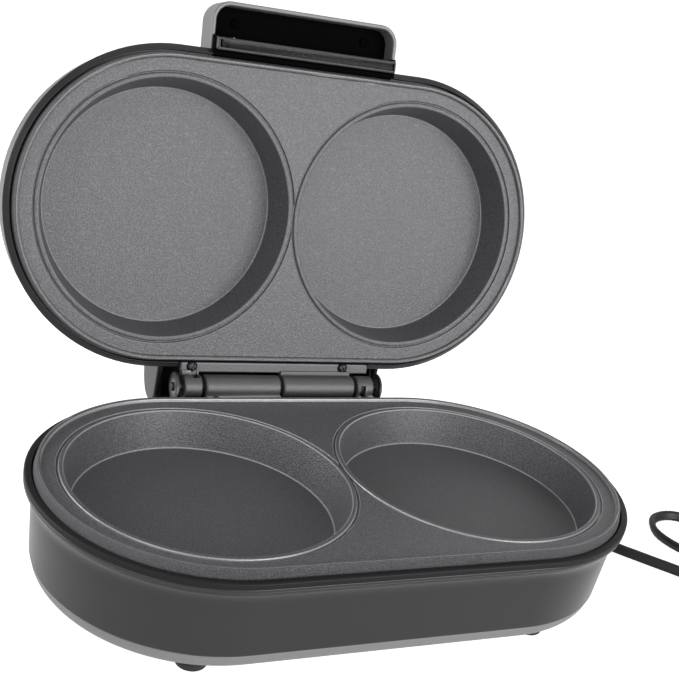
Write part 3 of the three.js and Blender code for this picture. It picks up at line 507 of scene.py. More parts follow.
# The lead: a flat twin flex that runs behind the base, out past its right end, once round and into a coil.
lead = {
    "width": 6.0, "thickness": 3.7, "tilt": -62, "floor": -59.3, "exitX": 45, "exitZ": -30,
    "reliefStart": 100, "reliefLength": 30, "coilCentre": (336, 20), "coilRadius": 30, "coilTurns": 2.25,
    "turnRise": 3.85, "samples": 9,
}
cordZ = lead["floor"] + lead["thickness"] / 2 + 0.1
cordStart = lead["reliefStart"] + lead["reliefLength"] + 0.3
exitX, exitZ = lead["exitX"], lead["exitZ"]
coilX, coilY = lead["coilCentre"]
plugX, plugZ, plugStart = coilX + lead["coilRadius"], lead["floor"] + 8.6, coilY + 32
leadRoute = [
    (exitX, cordStart - 8, exitZ), (exitX, cordStart, exitZ), (exitX, cordStart + 11, exitZ - 1.4),
    (exitX, cordStart + 24, exitZ - 7), (exitX, cordStart + 36, exitZ - 14.5),
    (exitX, cordStart + 48, exitZ - 21.5), (exitX, cordStart + 60, exitZ - 26),
    (exitX, cordStart + 74, cordZ), (exitX + 2, cordStart + 90, cordZ),
    (exitX + 13, cordStart + 105, cordZ), (exitX + 31, cordStart + 109, cordZ),
    (exitX + 46, cordStart + 100, cordZ), (exitX + 57, cordStart + 80, cordZ), (115, 174, cordZ),
    (133, 128, cordZ), (152, 77, cordZ), (166, 40, cordZ), (184, 5, cordZ), (197, -10, cordZ),
    (212, -26, cordZ), (229, -45, cordZ), (248, -63, cordZ), (268, -76, cordZ), (287, -79, cordZ),
    (303, -70, cordZ), (307, -53, cordZ), (299, -38, cordZ), (281, -30, cordZ), (262, -27, cordZ),
    (243, -18, cordZ), (230, -3, cordZ), (227, 14, cordZ), (236, 28, cordZ), (252, 31, cordZ),
    (266, 21, cordZ), (273, 5, cordZ), (284, -8, cordZ), (299, -12, cordZ),
    (coilX - 19.8, coilY - lead["coilRadius"], cordZ),
]
turnPoints = 24
for i in range(int(lead["coilTurns"] * turnPoints) + 1):
    angle = -math.pi / 2 + 2 * math.pi * i / turnPoints
    rise = lead["turnRise"] * i / turnPoints
    leadRoute.append(
        (
            coilX + lead["coilRadius"] * math.cos(angle), coilY + lead["coilRadius"] * math.sin(angle),
            cordZ + rise,
        )
    )
topOfCoil = leadRoute[-1][2]
leadRoute += [
    (plugX, coilY + 11, topOfCoil - 0.2), (plugX, coilY + 22, plugZ + 0.2), (plugX, plugStart + 3, plugZ),
]


def smoothLine(points, samples):  # a centripetal curve through the points
    points = [Vector(p) for p in points]
    padded = [points[0] * 2 - points[1], *points, points[-1] * 2 - points[-2]]
    line = []
    for a, b, c, d in zip(padded, padded[1:], padded[2:], padded[3:]):
        t1 = (b - a).length ** 0.5
        t2 = t1 + (c - b).length ** 0.5
        t3 = t2 + (d - c).length ** 0.5
        for k in range(samples):
            t = t1 + (t2 - t1) * k / samples
            p = a * ((t1 - t) / t1) + b * (t / t1)
            q = b * ((t2 - t) / (t2 - t1)) + c * ((t - t1) / (t2 - t1))
            r = c * ((t3 - t) / (t3 - t2)) + d * ((t - t2) / (t3 - t2))
            u = p * ((t2 - t) / t2) + q * (t / t2)
            v = q * ((t3 - t) / (t3 - t1)) + r * ((t - t1) / (t3 - t1))
            line.append(u * ((t2 - t) / (t2 - t1)) + v * ((t - t1) / (t2 - t1)))
    line.append(points[-1])
    return line


def makeLead():
    line = smoothLine(leadRoute, 4)
    core = lead["thickness"] / 2
    apart = lead["width"] / 2 - core
    section = []
    for side in (1, -1):
        for i in range(9):
            angle = (-118 + 236 * i / 8) * math.pi / 180
            section.append((side * (apart + core * math.cos(angle)), side * core * math.sin(angle)))
    rings = []
    across = Vector((1, 0, 0))
    for i, point in enumerate(line):
        along = (line[min(i + 1, len(line) - 1)] - line[max(i - 1, 0)]).normalized()
        across = (across - along * across.dot(along)).normalized()
        over = across.cross(along)
        coiled = min(max((point.x - coilX + 60) / 30, 0), 1)
        lean = math.radians(lead["tilt"]) * (1 - coiled)
        wide, thick = across * math.cos(lean) + over * math.sin(lean), over * math.cos(
            lean
        ) - across * math.sin(lean)
        middle = point + Vector((0, 0, apart * abs(math.sin(lean)) * 1.05))
        rings.append([middle + wide * a + thick * b for a, b in section])
    cord = rawPiece("power_lead", lambda bm: loft(bm, rings, caps=True))
    finishPiece(
        cord, baseFrame, "base", "cordJacket", ["power_cord", "cord_coil", "cord_tail"],
    )
    path = [baseFrame @ point for point in line]
    length = sum((b - a).length for a, b in zip(path, path[1:]))
    return cord, path, length


def makeStrainRelief():
    start, length = lead["reliefStart"], lead["reliefLength"]
    profile = [
        (0.01, start - 5.4), (6.8, start - 5.4), (6.8, start - 2.7), (4.6, start - 2.7), (4.6, start + 0.3),
        (6.6, start + 0.3),
    ]
    ribs = 6
    for i in range(ribs):  # ribs that get thinner towards the end
        at = start + 4 + (length - 6) * i / ribs
        step = (length - 6) / ribs
        wide = 6.3 - 2.6 * i / ribs
        profile += [
            (wide, at), (wide, at + step * 0.5), (wide - 1.1, at + step * 0.62),
            (wide - 1.1, at + step * 0.88),
        ]
    profile += [
        (3.5, start + length - 1.5), (3.4, start + length - 0.3), (2.9, start + length),
        (0.01, start + length),
    ]
    relief = rawPiece("lead_strain_relief", lambda bm: turn(bm, profile, (exitX, 0, exitZ), "y", 40))
    return finishPiece(relief, baseFrame, "base", "cordJacket", ["strain_relief"])


plug = {
    "width": 35, "thickness": 17, "length": 42, "pinApart": 9.5, "pinRadius": 2.4, "pinLength": 19,
    "rings": 4,
}


def makePlug():
    def shape(width, thickness, y, count=40):
        ring = []
        for i in range(count):
            angle = 2 * math.pi * i / count
            a, b = math.cos(angle), math.sin(angle)
            ring.append(
                (
                    plugX + width / 2 * math.copysign(abs(a) ** 0.6, a), y,
                    plugZ + thickness / 2 * math.copysign(abs(b) ** 0.6, b),
                )
            )
        return ring

    stations = [(7.6, 5.6, 0), (8.6, 6.6, 0.6), (9.4, 7.2, 3)]
    for i in range(plug["rings"]):  # grip rings on the neck
        at = 4 + i * 2.3
        stations += [
            (9.6 + i * 0.9, 7.4 + i * 0.7, at), (8.4 + i * 0.9, 6.4 + i * 0.7, at + 0.6),
            (8.4 + i * 0.9, 6.4 + i * 0.7, at + 1.5),
        ]
    stations += [
        (14, 10.4, 13.6), (19, 12.6, 16.5), (26, 15, 20.5), (31.6, 16.3, 24.5), (34.4, 16.9, 28),
        (plug["width"], plug["thickness"], 31), (plug["width"], plug["thickness"], 39.4),
        (34.4, 16.4, 40.8), (32.6, 14.6, 41.8), (30, 12, plug["length"]),
    ]
    body = rawPiece(
        "lead_plug", lambda bm: loft(bm, [shape(w, t, plugStart + y) for w, t, y in stations], caps=True),
    )
    finishPiece(body, baseFrame, "base", "cordJacket", ["plug_body"])
    pins = []
    radius, start = plug["pinRadius"], plugStart + plug["length"]
    tip = start + plug["pinLength"]
    for side, x in (("left", plugX - plug["pinApart"]), ("right", plugX + plug["pinApart"])):
        profile = rounded([(0.01, start), (radius, start), (radius, tip, 1.4), (0.01, tip + 0.3)], 4)
        sleeve = rounded(
            [(2.42, start + 0.05), (2.7, start + 0.05, 0.1), (2.7, start + 9, 0.2), (2.42, start + 9.05)], 2,
        )
        pin = rawPiece("plug_contact_" + side, lambda bm: turn(bm, profile, (x, 0, plugZ), "y", 32))
        collar = rawPiece(
            "plug_sleeve_" + side, lambda bm: turn(bm, sleeve, (x, 0, plugZ), "y", 32, caps=False),
        )
        finishPiece(pin, baseFrame, "base", "plugPin", ["plug_pin_" + side])
        finishPiece(collar, baseFrame, "base", "cordJacket")
        pins += [pin, collar]
    return [body, *pins]


leadPiece, leadPath, leadLength = makeLead()
leadEnds = [makeStrainRelief(), *makePlug()]
print("lead laid,", round(leadLength, 3), "m")


def joinPieces(first, *others):
    bm = bmesh.new()
    for made in (first, *others):
        bm.from_mesh(made.data)
    bm.to_mesh(first.data)
    bm.free()
    for made in others:
        mesh = made.data
        bpy.data.objects.remove(made)
        bpy.data.meshes.remove(mesh)
    return first


# The outline of a rounded box at a height.
def outlineRing(half, low, high, corner, z, steps=8, lowCorner=0.01):
    ring = []
    for x, y, r, start in (
        (half, high, corner, 0), (-half, high, corner, 90), (-half, low, lowCorner, 180),
        (half, low, lowCorner, 270),
    ):
        cx = x - math.copysign(r, x)
        cy = y - r if y == high else y + r
        for i in range(steps + 1):
            angle = math.radians(start + 90 * i / steps)
            ring.append((cx + r * math.cos(angle), cy + r * math.sin(angle), z))
    return ring


# The cooking plates: two wells in each, with a ring and a groove round them and a rim along the edge.
plateShape = {
    "spacing": 140, "rays": 96,
    "well": rounded(
        [
            (0, -19.2), (61.9, -19.2), (62.6, -18.7, 0.5), (66.9, -0.5, 0.3), (67.4, 0, 0.35),
            (69.0, 0, 0.4), (69.4, -0.5, 0.3), (69.5, -1.4, 0.25), (70.3, -1.4, 0.25), (70.5, -0.4, 0.25),
            (71.0, -0.3, 0.2), (71.6, -0.3),
        ],
        3,
    ),
    "rim": rounded(
        [(76.2, -0.3), (76.9, -0.3, 0.4), (77.1, 1.4, 0.3), (77.6, 1.7, 0.3), (78.25, 1.7), (78.5, 1.7)], 3,
    ),
    "skirt": rounded(
        [
            (78.5, 1.7), (79.15, 1.6, 0.4), (79.5, -0.5, 0.8), (80, -2.7, 0.6), (80.05, -5.2, 0.4),
            (79.5, -5.7, 0.4), (77.5, -5.7),
        ],
        3,
    ),
    "floorRows": (14, 30, 44, 54),
    # radii of the bands that carry the painted highlight
    "highlightBands": ((61.8, 62.4), (67.0, 67.5), (69.0, 69.45), (70.35, 70.8), (76.95, 77.2), (78.3, 78.45)),
}


def onLine(line, at):
    if at <= line[0][0]:
        return line[0][1]
    for (a, za), (b, zb) in zip(line, line[1:]):
        if at <= b:
            return za + (zb - za) * (at - a) / max(b - a, 1e-6)
    return line[-1][1]


def plateFace(bm, shape):
    half = shape["spacing"] / 2
    well, rim = shape["well"], shape["rim"]
    wellRadii = [*shape["floorRows"], *(r for r, z in well[1:])]
    rimRadii = [r for r, z in rim]
    angles = {round(360 * i / shape["rays"], 4) for i in range(shape["rays"])}
    special = [math.degrees(math.atan2(r, -half)) for r in rimRadii]
    special += [math.degrees(math.acos(-half / r)) for r in wellRadii if r > half + 0.01]
    for angle in special:
        angles |= {round(angle, 4), round(360 - angle, 4)}
    ordered = sorted(angles)
    spare = [a for a, b in zip(ordered, ordered[1:]) if b - a < 0.02]
    ordered = [a for a in ordered if a not in spare]
    rays = []
    for degrees in ordered:
        cosine, sine = math.cos(math.radians(degrees)), math.sin(math.radians(degrees))
        furthest = half / -cosine if cosine < -1e-9 else 1e9
        stretch = 1 if cosine >= 0 else 1 / max(abs(sine), 1e-9)
        ray = []
        for r in wellRadii + [71.9 + 0.6 * k for k in range(1, 7)] + rimRadii:
            inRim = r >= rimRadii[0]
            at = min(r * stretch if inRim else r, furthest)
            x, y = at * cosine, at * sine
            edge = abs(y) if cosine < 0 else at
            z = onLine(well, at) if edge < rimRadii[0] else onLine(rim, edge)
            ray.append((max(half + x, 0), y, z))
        rays.append(ray)
    for mirror in (1, -1):
        middle = bm.verts.new((mirror * half, 0, well[0][1]))
        rows = [[bm.verts.new((mirror * x, y, z)) for x, y, z in ray] for ray in rays]
        for ray, after in zip(rows, rows[1:] + rows[:1]):
            bm.faces.new((middle, ray[0], after[0]))
            for i in range(len(ray) - 1):
                face = bm.faces.new((ray[i], ray[i + 1], after[i + 1], after[i]))
                centre = face.calc_center_median()
                across = math.hypot(abs(centre.x) - half, centre.y)
                if across > 75 and abs(centre.x) < half:
                    across = abs(centre.y) if abs(centre.y) > 75 else 0
                # faces in these bands take the painted highlight material
                face.material_index = int(any(low < across < high for low, high in shape["highlightBands"]))
    bmesh.ops.remove_doubles(bm, verts=bm.verts, dist=0.002)
    bmesh.ops.dissolve_degenerate(bm, edges=bm.edges, dist=0.001)


def makePlate(name, place, body, node, edges):
    face = rawPiece(name + "_face", lambda bm: plateFace(bm, plateShape))
    finishPiece(face, place, body, ["plateCoating", edges], [node], sharp=42)
    skirt = rawPiece(name + "_skirt", lambda bm: stadiumLoft(bm, plateShape["skirt"]))
    finishPiece(skirt, place, body, "castSkirt", [node], sharp=50)


makePlate("lower_plate", baseFrame, "base", "lower_cooking_plate", "paintedHighlightBand")
makePlate("upper_plate", lidFrame, "lid", "upper_cooking_plate", "paintedDimHighlightBand")
print("plates made")


# The housings. Their lip and upper wall are the same shape in both halves.
housing = {
    "cove": [
        (79.4, -20, 3), (79.7, -13, 3), (81.3, -9.4, 2.5), (83.3, -7.2, 1.2), (83.9, -6.6, 0.3),
        (83.9, -5.3, 0.25), (83.6, -5.1, 0.2),
    ],
    "inside": [(81.6, -5.1, 0.2), (81.5, -5.6), (81.5, -8.0), (78.2, -11), (77, -18)], "notchHalf": 57.1,
    "notch": (80.4, 112), "humpHalf": 58, "humpBack": 100, "humpTop": -6.3, "humpBottom": -52,
    "baseBottom": -42.6,
}


def leafNotch(side, floor):
    low, high = sorted(side * y for y in housing["notch"])
    return lambda bm: boxed(bm, (-housing["notchHalf"], low, floor), (housing["notchHalf"], high, 12))


def makeBaseShell():
    bottom = [(75.4, housing["baseBottom"]), (77.5, housing["baseBottom"], 0.3), (77.8, -42.2, 0.3)]
    profile = rounded([*bottom, *housing["cove"], *housing["inside"]], 4, closed=True)
    shell = rawPiece("base_housing", lambda bm: stadiumLoft(bm, profile, loop=True))
    carve(shell, leafNotch(1, housing["humpTop"]))
    softenEdges(shell, 0.25, 60)
    finishPiece(shell, baseFrame, "base", "housing", ["base_shell"])
    h = housing
    outline = rounded(
        [
            (74, h["humpTop"]), (h["humpBack"], h["humpTop"], 3.4), (h["humpBack"] + 0.4, -30, 3),
            (h["humpBack"], h["humpBottom"], 3.4), (79.4, h["humpBottom"], 0.8), (79.2, -42.7), (74, -42.7),
        ],
        5,
    )
    hump = rawPiece("base_back_housing", lambda bm: drawnAlongX(bm, outline, -h["humpHalf"], h["humpHalf"]))
    softenEdges(hump, 1.6, 60, 4)
    grooves = [
        lambda bm, z=z: boxed(bm, (-h["humpHalf"] + 12, 99.6, z), (h["humpHalf"] - 12, 103, z + 1.2), 0.3)
        for z in (-16, -44)
    ]
    carve(hump, *grooves)
    finishPiece(hump, baseFrame, "base", "housing", ["base_shell"])


cover = {
    "profile": [
        (70.5, -52), (74.1, -49.9, 2), (76.6, -46.4, 2), (77.2, -43.2, 0.3), (76.9, -42.9, 0.3),
        (75.0, -42.9), (73.7, -45.8), (71.1, -48.2), (68, -49.6),
    ],
    "vents": {"x": 26, "half": (13, 1.75), "first": -19.25, "step": 12, "count": 4},
}


def makeBottomCover():
    profile = rounded(cover["profile"], 4)
    v = cover["vents"]
    halfX, halfY = v["half"]
    made = rawPiece("base_cover", lambda bm: stadiumLoft(bm, profile, caps=True))
    vents = [
        lambda bm, x=side * v["x"], y=v["first"] + v["step"] * i: boxed(
            bm, (x - halfX, y - halfY, -54), (x + halfX, y + halfY, -48), 1.2, 3,
        )
        for side in (-1, 1) for i in range(v["count"])
    ]
    ribs = [
        lambda bm: loft(
            bm, [stadiumRing(r, z) for r, z in ((62, -52.6), (62, -51.7), (60.4, -51.7), (60.4, -52.6))],
            loop=True,
        )
    ]
    carve(made, *vents, *ribs)
    softenEdges(made, 0.35, 50)
    finishPiece(made, baseFrame, "base", "coverGrey", ["base_bottom_cover"])


trimShape = {
    "base": [
        (84.0, -5.0, 0.2), (84.05, -2.8, 0.5), (83.5, -2.3, 0.4), (80.9, -2.3, 0.25), (80.6, -2.6),
        (80.55, -6), (74.4, -6), (74.4, -7.2), (81.2, -7.2), (81.2, -5.0),
    ],
    "lid": [
        (84.0, -5.0, 0.2), (84.0, -4.4, 0.4), (81.6, -2.1, 0.5), (81.0, -2.1, 0.25), (80.8, -2.6),
        (80.7, -6), (74.4, -6), (74.4, -7.2), (81.2, -7.2), (81.2, -5.0),
    ],
}


def makeTrim(name, profile, place, body, node, finish, *cuts):
    trim = rawPiece(name, lambda bm: stadiumLoft(bm, rounded(profile, 3, closed=True), loop=True))
    carve(trim, *cuts)
    finishPiece(trim, place, body, finish, [node])


def latchBay(bm):
    boxed(bm, (-53.0, 80.3, -16.7), (53.0, 91.5, 10))


def makeLidShell():
    crown = [
        (50, -40), (56, -40, 3), (67.5, -39.2, 5), (76, -36.6, 4), (80.8, -31.6, 3.5), (82.3, -25, 3),
        (82.7, -14, 3),
    ]
    inner = [(76.2, -25), (74.4, -30.6), (70, -34.4), (63, -36.8), (50, -37.6)]
    profile = rounded([*crown, *housing["cove"][3:], *housing["inside"], *inner], 5)
    shell = rawPiece("lid_housing", lambda bm: stadiumLoft(bm, profile, caps=True))
    lenses = [lambda bm, x=x: turn(bm, [(3.8, -42), (3.8, -36)], (x, 47, 0)) for x in (-13, 13)]
    carve(shell, leafNotch(-1, -4.2), latchBay, *lenses)
    softenEdges(shell, 0.25, 60)
    finishPiece(shell, lidFrame, "lid", "lidHousing", ["lid_shell"])
    outline = rounded(
        [
            (-76, -8), (-82.9, -6.7, 0.6), (-101.5, -10.7, 3), (-105, -13.5, 3), (-106.5, -18, 4),
            (-104.5, -26, 5), (-98, -31, 5), (-84, -34, 5), (-76, -35),
        ],
        5,
    )
    hood = rawPiece("hinge_hood", lambda bm: drawnAlongX(bm, outline, -67, 67))
    softenEdges(hood, 1.0, 50, 3)
    carve(hood, lambda bm: boxed(bm, (-64.7, -103.7, -28.5), (64.7, -60, 9), 0.8), leafNotch(-1, -4.2))
    softenEdges(hood, 0.3, 60)
    finishPiece(hood, lidFrame, "lid", "housing", ["lid_shell"])
    liner = rawPiece(
        "hinge_hood_lining", lambda bm: boxed(bm, (-64.3, -103.3, -28.1), (64.3, -85.4, -10.6), 0.5),
    )
    carve(liner, lambda bm: boxed(bm, (-63.1, -102, -26.8), (63.1, -80, 0)))
    finishPiece(liner, lidFrame, "lid", "blackSatin", ["hinge_hood_liner"])


makeBaseShell()
makeBottomCover()
makeTrim("base_trim", trimShape["base"], baseFrame, "base", "base_bezel", "blackSatin", leafNotch(1, -20))
makeTrim("lid_trim", trimShape["lid"], lidFrame, "lid", "lid_bezel", "lidTrim", leafNotch(-1, -20), latchBay)
makeLidShell()
print("housings made")


# The handle: a hollow hood with a black insert, and the latch bar that lies in its bay.
handle = {"half": 54, "low": 78, "top": 109, "back": -24, "front": -5, "wall": 2.2, "corner": 10}


def makeHandle():
    h = handle
    outer = rounded(
        [
            (3.4, h["back"]), (1.2, h["back"] + 0.3, 1.2), (0, h["back"] + 3, 1.8),
            (0, h["front"] - 0.5, 0.3), (0.35, h["front"], 0.3), (h["wall"] - 0.35, h["front"], 0.3),
            (h["wall"], h["front"] - 0.6, 0.3), (h["wall"], -21.8),
        ],
        4,
    )
    rings = [
        outlineRing(h["half"] - inset, h["low"], h["top"] - inset, h["corner"] - inset, z)
        for inset, z in outer
    ]
    shell = rawPiece("handle_hood", lambda bm: loft(bm, rings, caps=True))
    carve(shell, latchBay)
    finishPiece(shell, lidFrame, "lid", "handleShell", ["handle_shell"])
    # the bay and panel carry the recess finish, partly painted shade
    bay = rawPiece("handle_bay", lambda bm: boxed(bm, (-52.8, 80.6, -16.4), (52.8, 91.2, -1.6), 0.5, 2))
    carve(bay, lambda bm: boxed(bm, (-52.3, 83, -14.4), (52.3, 92.2, 4)))
    panelRings = [outlineRing(51.5, 90.2, 106.5, 7.5, z) for z in (-16.4, -14.4)]
    panel = rawPiece("handle_panel", lambda bm: loft(bm, panelRings, caps=True))
    joinPieces(bay, panel)
    softenEdges(bay, 0.3, 50)
    finishPiece(bay, lidFrame, "lid", "recessBlack", ["handle_insert"])


latch = {
    "half": 52.1, "low": 83.6, "high": 90.2, "back": -3.2, "front": 1, "arm": 3, "axis": (88.6, -8.4),
    "eye": 2.4, "eyeBore": 1.7,
}


def makeLatch():
    half, arm, eye, bore = (latch[key] for key in ("half", "arm", "eye", "eyeBore"))
    ends = (-half, half - arm)
    bar = rawPiece(
        "latch_rail",
        lambda bm: boxed(
            bm, (-half, latch["low"], latch["back"]), (half, latch["high"], latch["front"]), 1.3, 4,
        ),
    )
    slotRings = [outlineRing(49.5, 85.0, 88.8, 1.5, z, lowCorner=1.5) for z in (-2.0, 3.0)]
    carve(bar, lambda bm: loft(bm, slotRings, caps=True))
    arms = [
        rawPiece("arm", lambda bm, x=x: boxed(bm, (x, 86.2, -8.4), (x + arm, 89.8, -2.6), 0.3))
        for x in ends
    ]
    eyeLine = [(bore, 0), (eye - 0.2, 0), (eye, 0.2), (eye, arm - 0.2), (eye - 0.2, arm), (bore, arm)]
    eyes = [
        rawPiece("eye", lambda bm, x=x: turn(bm, eyeLine, (x, *latch["axis"]), "x", 28, loop=True))
        for x in ends
    ]
    joinPieces(bar, *arms, *eyes)
    softenEdges(bar, 0.25, 55)
    finishPiece(bar, lidFrame, "latch", "railGrey", ["latch_bar"])
    # painted shade: a near-black sheet in the latch slot where it lies in shadow
    slotShade = rawPiece(
        "latch_slot_shade_fill",
        lambda bm: loft(
            bm, [outlineRing(49.3, 85.2, 88.6, 1.4, z, lowCorner=1.4) for z in (-2.1, 0.1)], caps=True,
        ),
    )
    finishPiece(slotShade, lidFrame, "latch", "slotLining")


makeHandle()
makeLatch()
print("handle and latch made")


# The hinge: two handed leaves on one pin, screws with a cross recess, and a disc at each end.
leafShape = {
    "half": 55.5, "small": (46.3, 56.5), "long": (-44.3, -0.9), "front": -12.5, "plateBack": -7.3,
    "top": -3, "thick": 4, "knuckle": 6.5, "screwX": (-39.5, 50.5), "screwY": -10.4, "screwHead": 2.6,
}


def makeLeaf(name, place, body, node):
    s = leafShape
    slab = rawPiece(
        name,
        lambda bm: boxed(
            bm, (-s["half"], s["front"], s["top"] - s["thick"]), (s["small"][1], s["plateBack"], s["top"]),
            0.7, 3,
        ),
    )
    carve(
        slab,
        *[
            lambda bm, x=x: turn(
                bm, [(1.9, -9), (1.9, s["top"] - 0.9), (3.1, s["top"] - 0.9), (3.1, 2)],
                (x, s["screwY"], 0), steps=32,
            )
            for x in s["screwX"]
        ],
    )
    parts = []
    for low, high in (s["long"], s["small"]):
        r = s["knuckle"]
        profile = rounded(
            [
                (2.7, low), (r - 0.8, low, 0.2), (r, low + 0.7, 0.5), (r, high - 0.7, 0.5),
                (r - 0.8, high, 0.2), (2.7, high),
            ],
            3,
        )
        barrel = rawPiece("barrel", lambda bm: turn(bm, profile, axis="x", steps=72, loop=True))
        web = rawPiece(
            "web",
            lambda bm: boxed(bm, (low + 0.3, s["plateBack"] - 1.2, -6.2), (high - 0.3, -2.5, -1.8), 0.6, 3),
        )
        if low > 0:
            cutter = lambda bm: boxed(bm, (low + 1.4, -9, -2.6), (low + 5, -3.8, 3.4), 0.3)
            carve(barrel, cutter)
            carve(web, cutter)
        parts += [barrel, web]
    joinPieces(slab, *parts)
    finishPiece(slab, place, body, "hingeCast", [node], sharp=40)


def makeScrew(name, place, body, node, head, height, shaft, length, finish):
    profile = rounded(
        [
            (0.01, -length), (shaft * 0.6, -length, 0.2), (shaft, -length + 1.2), (shaft, 0), (head, 0),
            (head, height * 0.45, 0.5), (head * 0.72, height, 0.6), (0.01, height),
        ],
        4,
    )
    screw = rawPiece(name, lambda bm: turn(bm, profile, steps=40))
    arm, wide, deep = head * 0.62, head * 0.11, height * 0.62
    carve(screw, lambda bm: boxed(bm, (-arm, -wide, height - deep), (arm, wide, height + 1)),
          lambda bm: boxed(bm, (-wide, -arm, height - deep), (wide, arm, height + 1)))
    finishPiece(screw, place, body, finish, [node], sharp=35)


def makeHinge():
    baseAxis = baseFrame @ Matrix.Translation((0, hinge["setback"], hinge["height"]))
    lidAxis = lidFrame @ Matrix.Translation(
        (0, -hinge["setback"], hinge["lidDrop"] - hinge["height"])
    ) @ Matrix.Rotation(math.pi, 4, "Z")
    makeLeaf("hinge_leaf_lower", baseAxis, "base", "base_hinge_leaf")
    makeLeaf("hinge_leaf_upper", lidAxis, "lid", "lid_hinge_leaf")
    for axis, body, names in ((baseAxis, "base", ("base_hinge_screw_left", "base_hinge_screw_right")),
                              (lidAxis, "lid", ("lid_hinge_screw_right", "lid_hinge_screw_left"))):
        for x, node, twist in zip(leafShape["screwX"], names, (0.4, 1.1)):
            seat = Matrix.Translation(
                (x, leafShape["screwY"], leafShape["top"] - 0.6)
            ) @ Matrix.Rotation(twist, 4, "Z")
            makeScrew(
                node.replace("_hinge_", "_leaf_"), axis @ seat, body, node, 2.8, 2.1, 1.5, 10,
                "blackScrew",
            )
    pinLine = rounded(
        [
            (0.01, -62.6), (2.0, -62.6, 0.3), (2.4, -62.1, 0.3), (2.4, 62.1, 0.3), (2.0, 62.6, 0.3),
            (0.01, 62.6),
        ],
        3,
    )
    pin = rawPiece("hinge_rod", lambda bm: turn(bm, pinLine, axis="x", steps=32))
    finishPiece(pin, baseAxis, "base", "darkWasher", ["hinge_pin"])
    for side, x in (("left", -61), ("right", 59.8)):
        line = rounded(
            [
                (2.6, x), (7.7, x, 0.3), (8, x + 0.3, 0.3), (8, x + 0.9, 0.3), (7.7, x + 1.2, 0.3),
                (2.6, x + 1.2),
            ],
            3,
        )
        disc = rawPiece("hinge_washer_" + side, lambda bm: turn(bm, line, axis="x", steps=48, loop=True))
        finishPiece(disc, baseAxis, "base", "darkWasher", ["hinge_disc_" + side])


feet = {
    "places": {
        "front_left": (-88, -57), "front_right": (88, -57), "back_left": (-46, 88), "back_right": (46, 88),
    },
    "line": [
        (2, -52.2), (8, -52.2, 0.4), (7.9, -54.6), (7.3, -55.0, 0.2), (7.3, -55.6, 0.2), (7.8, -56.0, 0.2),
        (7.2, -58.7, 0.4), (6.6, -59.3, 0.5), (4.4, -59.3, 0.3), (4, -58.9), (4, -55.9), (2, -55.9),
    ],
    "screwHeight": -56.2,
}


def makeFeet():
    line = rounded(feet["line"], 3)
    for label, (x, y) in feet["places"].items():
        foot = rawPiece("rubber_foot_" + label, lambda bm: turn(bm, line, (x, y, 0), steps=48, caps=False))
        finishPiece(foot, baseFrame, "base", "footRubber", ["foot_" + label])
        place = baseFrame @ Matrix.Translation((x, y, feet["screwHeight"])) @ Matrix.Rotation(math.pi, 4, "X")
        makeScrew(
            "foot_fixing_" + label, place, "base", "foot_screw_" + label, 3.2, 1.8, 1.5, 8,
            "brightSteel",
        )


lamps = {
    "apart": 13, "y": 47,
    "line": [
        (0.01, -41.2), (2.0, -41.1, 0.8), (3.5, -40.2, 0.6), (3.5, -37.3), (5, -37.3, 0.2), (5, -36.3, 0.2),
        (0.01, -36.3),
    ],
}
handleScrews = {"apart": 38, "y": 99, "z": -14.1}


def makeLidDetails():
    apart = lamps["apart"]
    line = rounded(lamps["line"], 4)
    for label, x, finish, slot in (
        ("power", -apart, "redLens", "red_lens"), ("ready", apart, "greenLens", "green_lens"),
    ):
        lens = rawPiece("lamp_window_" + label, lambda bm: turn(bm, line, (x, lamps["y"], 0), steps=40))
        finishPiece(lens, lidFrame, "lid", finish, ["indicator_lens_" + label])
    for label, side in (("left", -1), ("right", 1)):
        place = lidFrame @ Matrix.Translation(
            (side * handleScrews["apart"], handleScrews["y"], handleScrews["z"])
        )
        # the screws inside the handle recess share its painted shade
        makeScrew(
            "handle_fixing_" + label, place, "lid", "handle_screw_" + label, 2.6, 1.5, 1.4, 6,
            "recessBlack",
        )


makeHinge()
makeFeet()
makeLidDetails()
print("hinge, feet and lamps made")

# What stays as the frame has it: the parts inside, each with its own finish.
insideFinishes = {
    "lower_heating_element": "elementSheath", "upper_heating_element": "elementSheath",
    "lower_reflector": "pressedSheet", "upper_reflector": "pressedSheet", "thermostat": "whiteMoulding",
    "thermal_fuse": "brightSteel", "terminal_block": "whiteMoulding", "cord_clamp": "blackSatin",
    "indicator_lamp_power": "lampSleeve", "indicator_lamp_ready": "lampSleeve", "latch_pin": "brightSteel",
    "latch_spring": "brightSteel",
}
for node, finish in insideFinishes.items():
    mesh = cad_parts[node].data
    mesh.materials.clear()
    mesh.materials.append(finishes[finish])
print("inside parts finished")


# Pale floor and soft studio light.
stageLook = {
    "floor": {
        "size": 60.0, "colour": (0.6, 0.6, 0.6), "roughness": 0.8, "glow": 0.5, "ambientGlow": 0.25,
        "seenGlow": 0.9,
    },
    "world": {"seen": 1.0, "mirrored": 0.8, "ambient": 0.26},
    "lights": [
        {"name": "keyRight", "place": (0.75, -1.7, 0.62), "size": (1.3, 1.1), "power": 32.0},
        {"name": "fillLeft", "place": (-1.4, -0.9, 0.8), "size": (1.0, 1.2), "power": 8.0},
        {"name": "edgeLeft", "place": (-1.5, 0.85, 0.5), "size": (1.2, 1.1), "power": 24.0},
        {"name": "overhead", "place": (0.0, 0.1, 1.8), "size": (1.8, 1.2), "power": 3.0},
    ],
    "aim": (0.0, 0.0, 0.12),
}


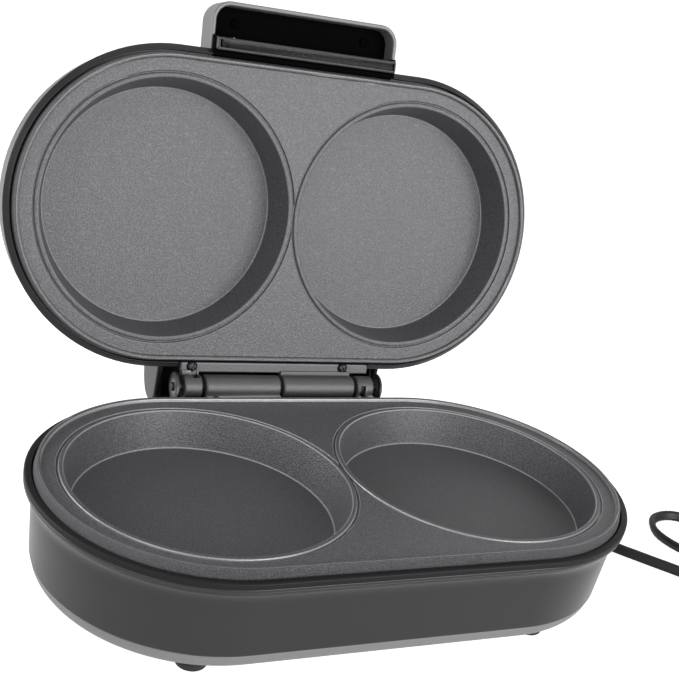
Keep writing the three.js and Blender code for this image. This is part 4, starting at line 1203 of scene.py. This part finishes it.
def makeStage(look):
    half = look["floor"]["size"] / 2
    floor = rawPiece(
        "floor",
        lambda bm: bm.faces.new(
            [
                bm.verts.new((x, y, 0))
                for x, y in ((-half, -half), (half, -half), (half, half), (-half, half))
            ]
        ),
    )
    material = bpy.data.materials.new("floorPaper")
    material.use_nodes = True
    shader = material.node_tree.nodes["Principled BSDF"]
    shader.inputs["Base Color"].default_value = (*look["floor"]["colour"], 1)
    shader.inputs["Roughness"].default_value = look["floor"]["roughness"]
    shader.inputs["Specular IOR Level"].default_value = 0.1
    shader.inputs["Emission Color"].default_value = (1, 1, 1, 1)
    rays = material.node_tree.nodes.new("ShaderNodeLightPath")
    glow = scaled(
        material.node_tree, rays.outputs["Is Diffuse Ray"], look["floor"]["glow"],
        look["floor"]["ambientGlow"],
    )
    seen = material.node_tree.nodes.new("ShaderNodeMix")
    seen.inputs["B"].default_value = look["floor"]["seenGlow"]
    wire(material.node_tree, rays, "Is Camera Ray", seen, "Factor")
    material.node_tree.links.new(glow, seen.inputs["A"])
    wire(material.node_tree, seen, "Result", shader, "Emission Strength")
    floor.data.materials.append(material)
    world = bpy.data.worlds.new("studio")
    world.use_nodes = True
    tree = world.node_tree
    background = tree.nodes["Background"]
    background.inputs["Color"].default_value = (1, 1, 1, 1)
    rays = tree.nodes.new("ShaderNodeLightPath")
    brighter = scaled(
        tree, rays.outputs["Is Glossy Ray"], look["world"]["ambient"], look["world"]["mirrored"],
    )
    strength = tree.nodes.new("ShaderNodeMix")
    strength.inputs["B"].default_value = look["world"]["seen"]
    wire(tree, rays, "Is Camera Ray", strength, "Factor")
    tree.links.new(brighter, strength.inputs["A"])
    wire(tree, strength, "Result", background, "Strength")
    bpy.context.scene.world = world
    for light in look["lights"]:
        data = bpy.data.lights.new(light["name"], "AREA")
        data.shape = "RECTANGLE"
        data.size, data.size_y = light["size"]
        data.energy = light["power"]
        lamp = bpy.data.objects.new(light["name"], data)
        lamp.location = light["place"]
        lamp.rotation_euler = (
            Vector(light["place"]) - Vector(look["aim"])
        ).to_track_quat("Z", "Y").to_euler()
        bpy.context.scene.collection.objects.link(lamp)
    bpy.context.scene.view_settings.view_transform = "Standard"
    bpy.context.scene.view_settings.look = "None"


makeStage(stageLook)
print("stage set")
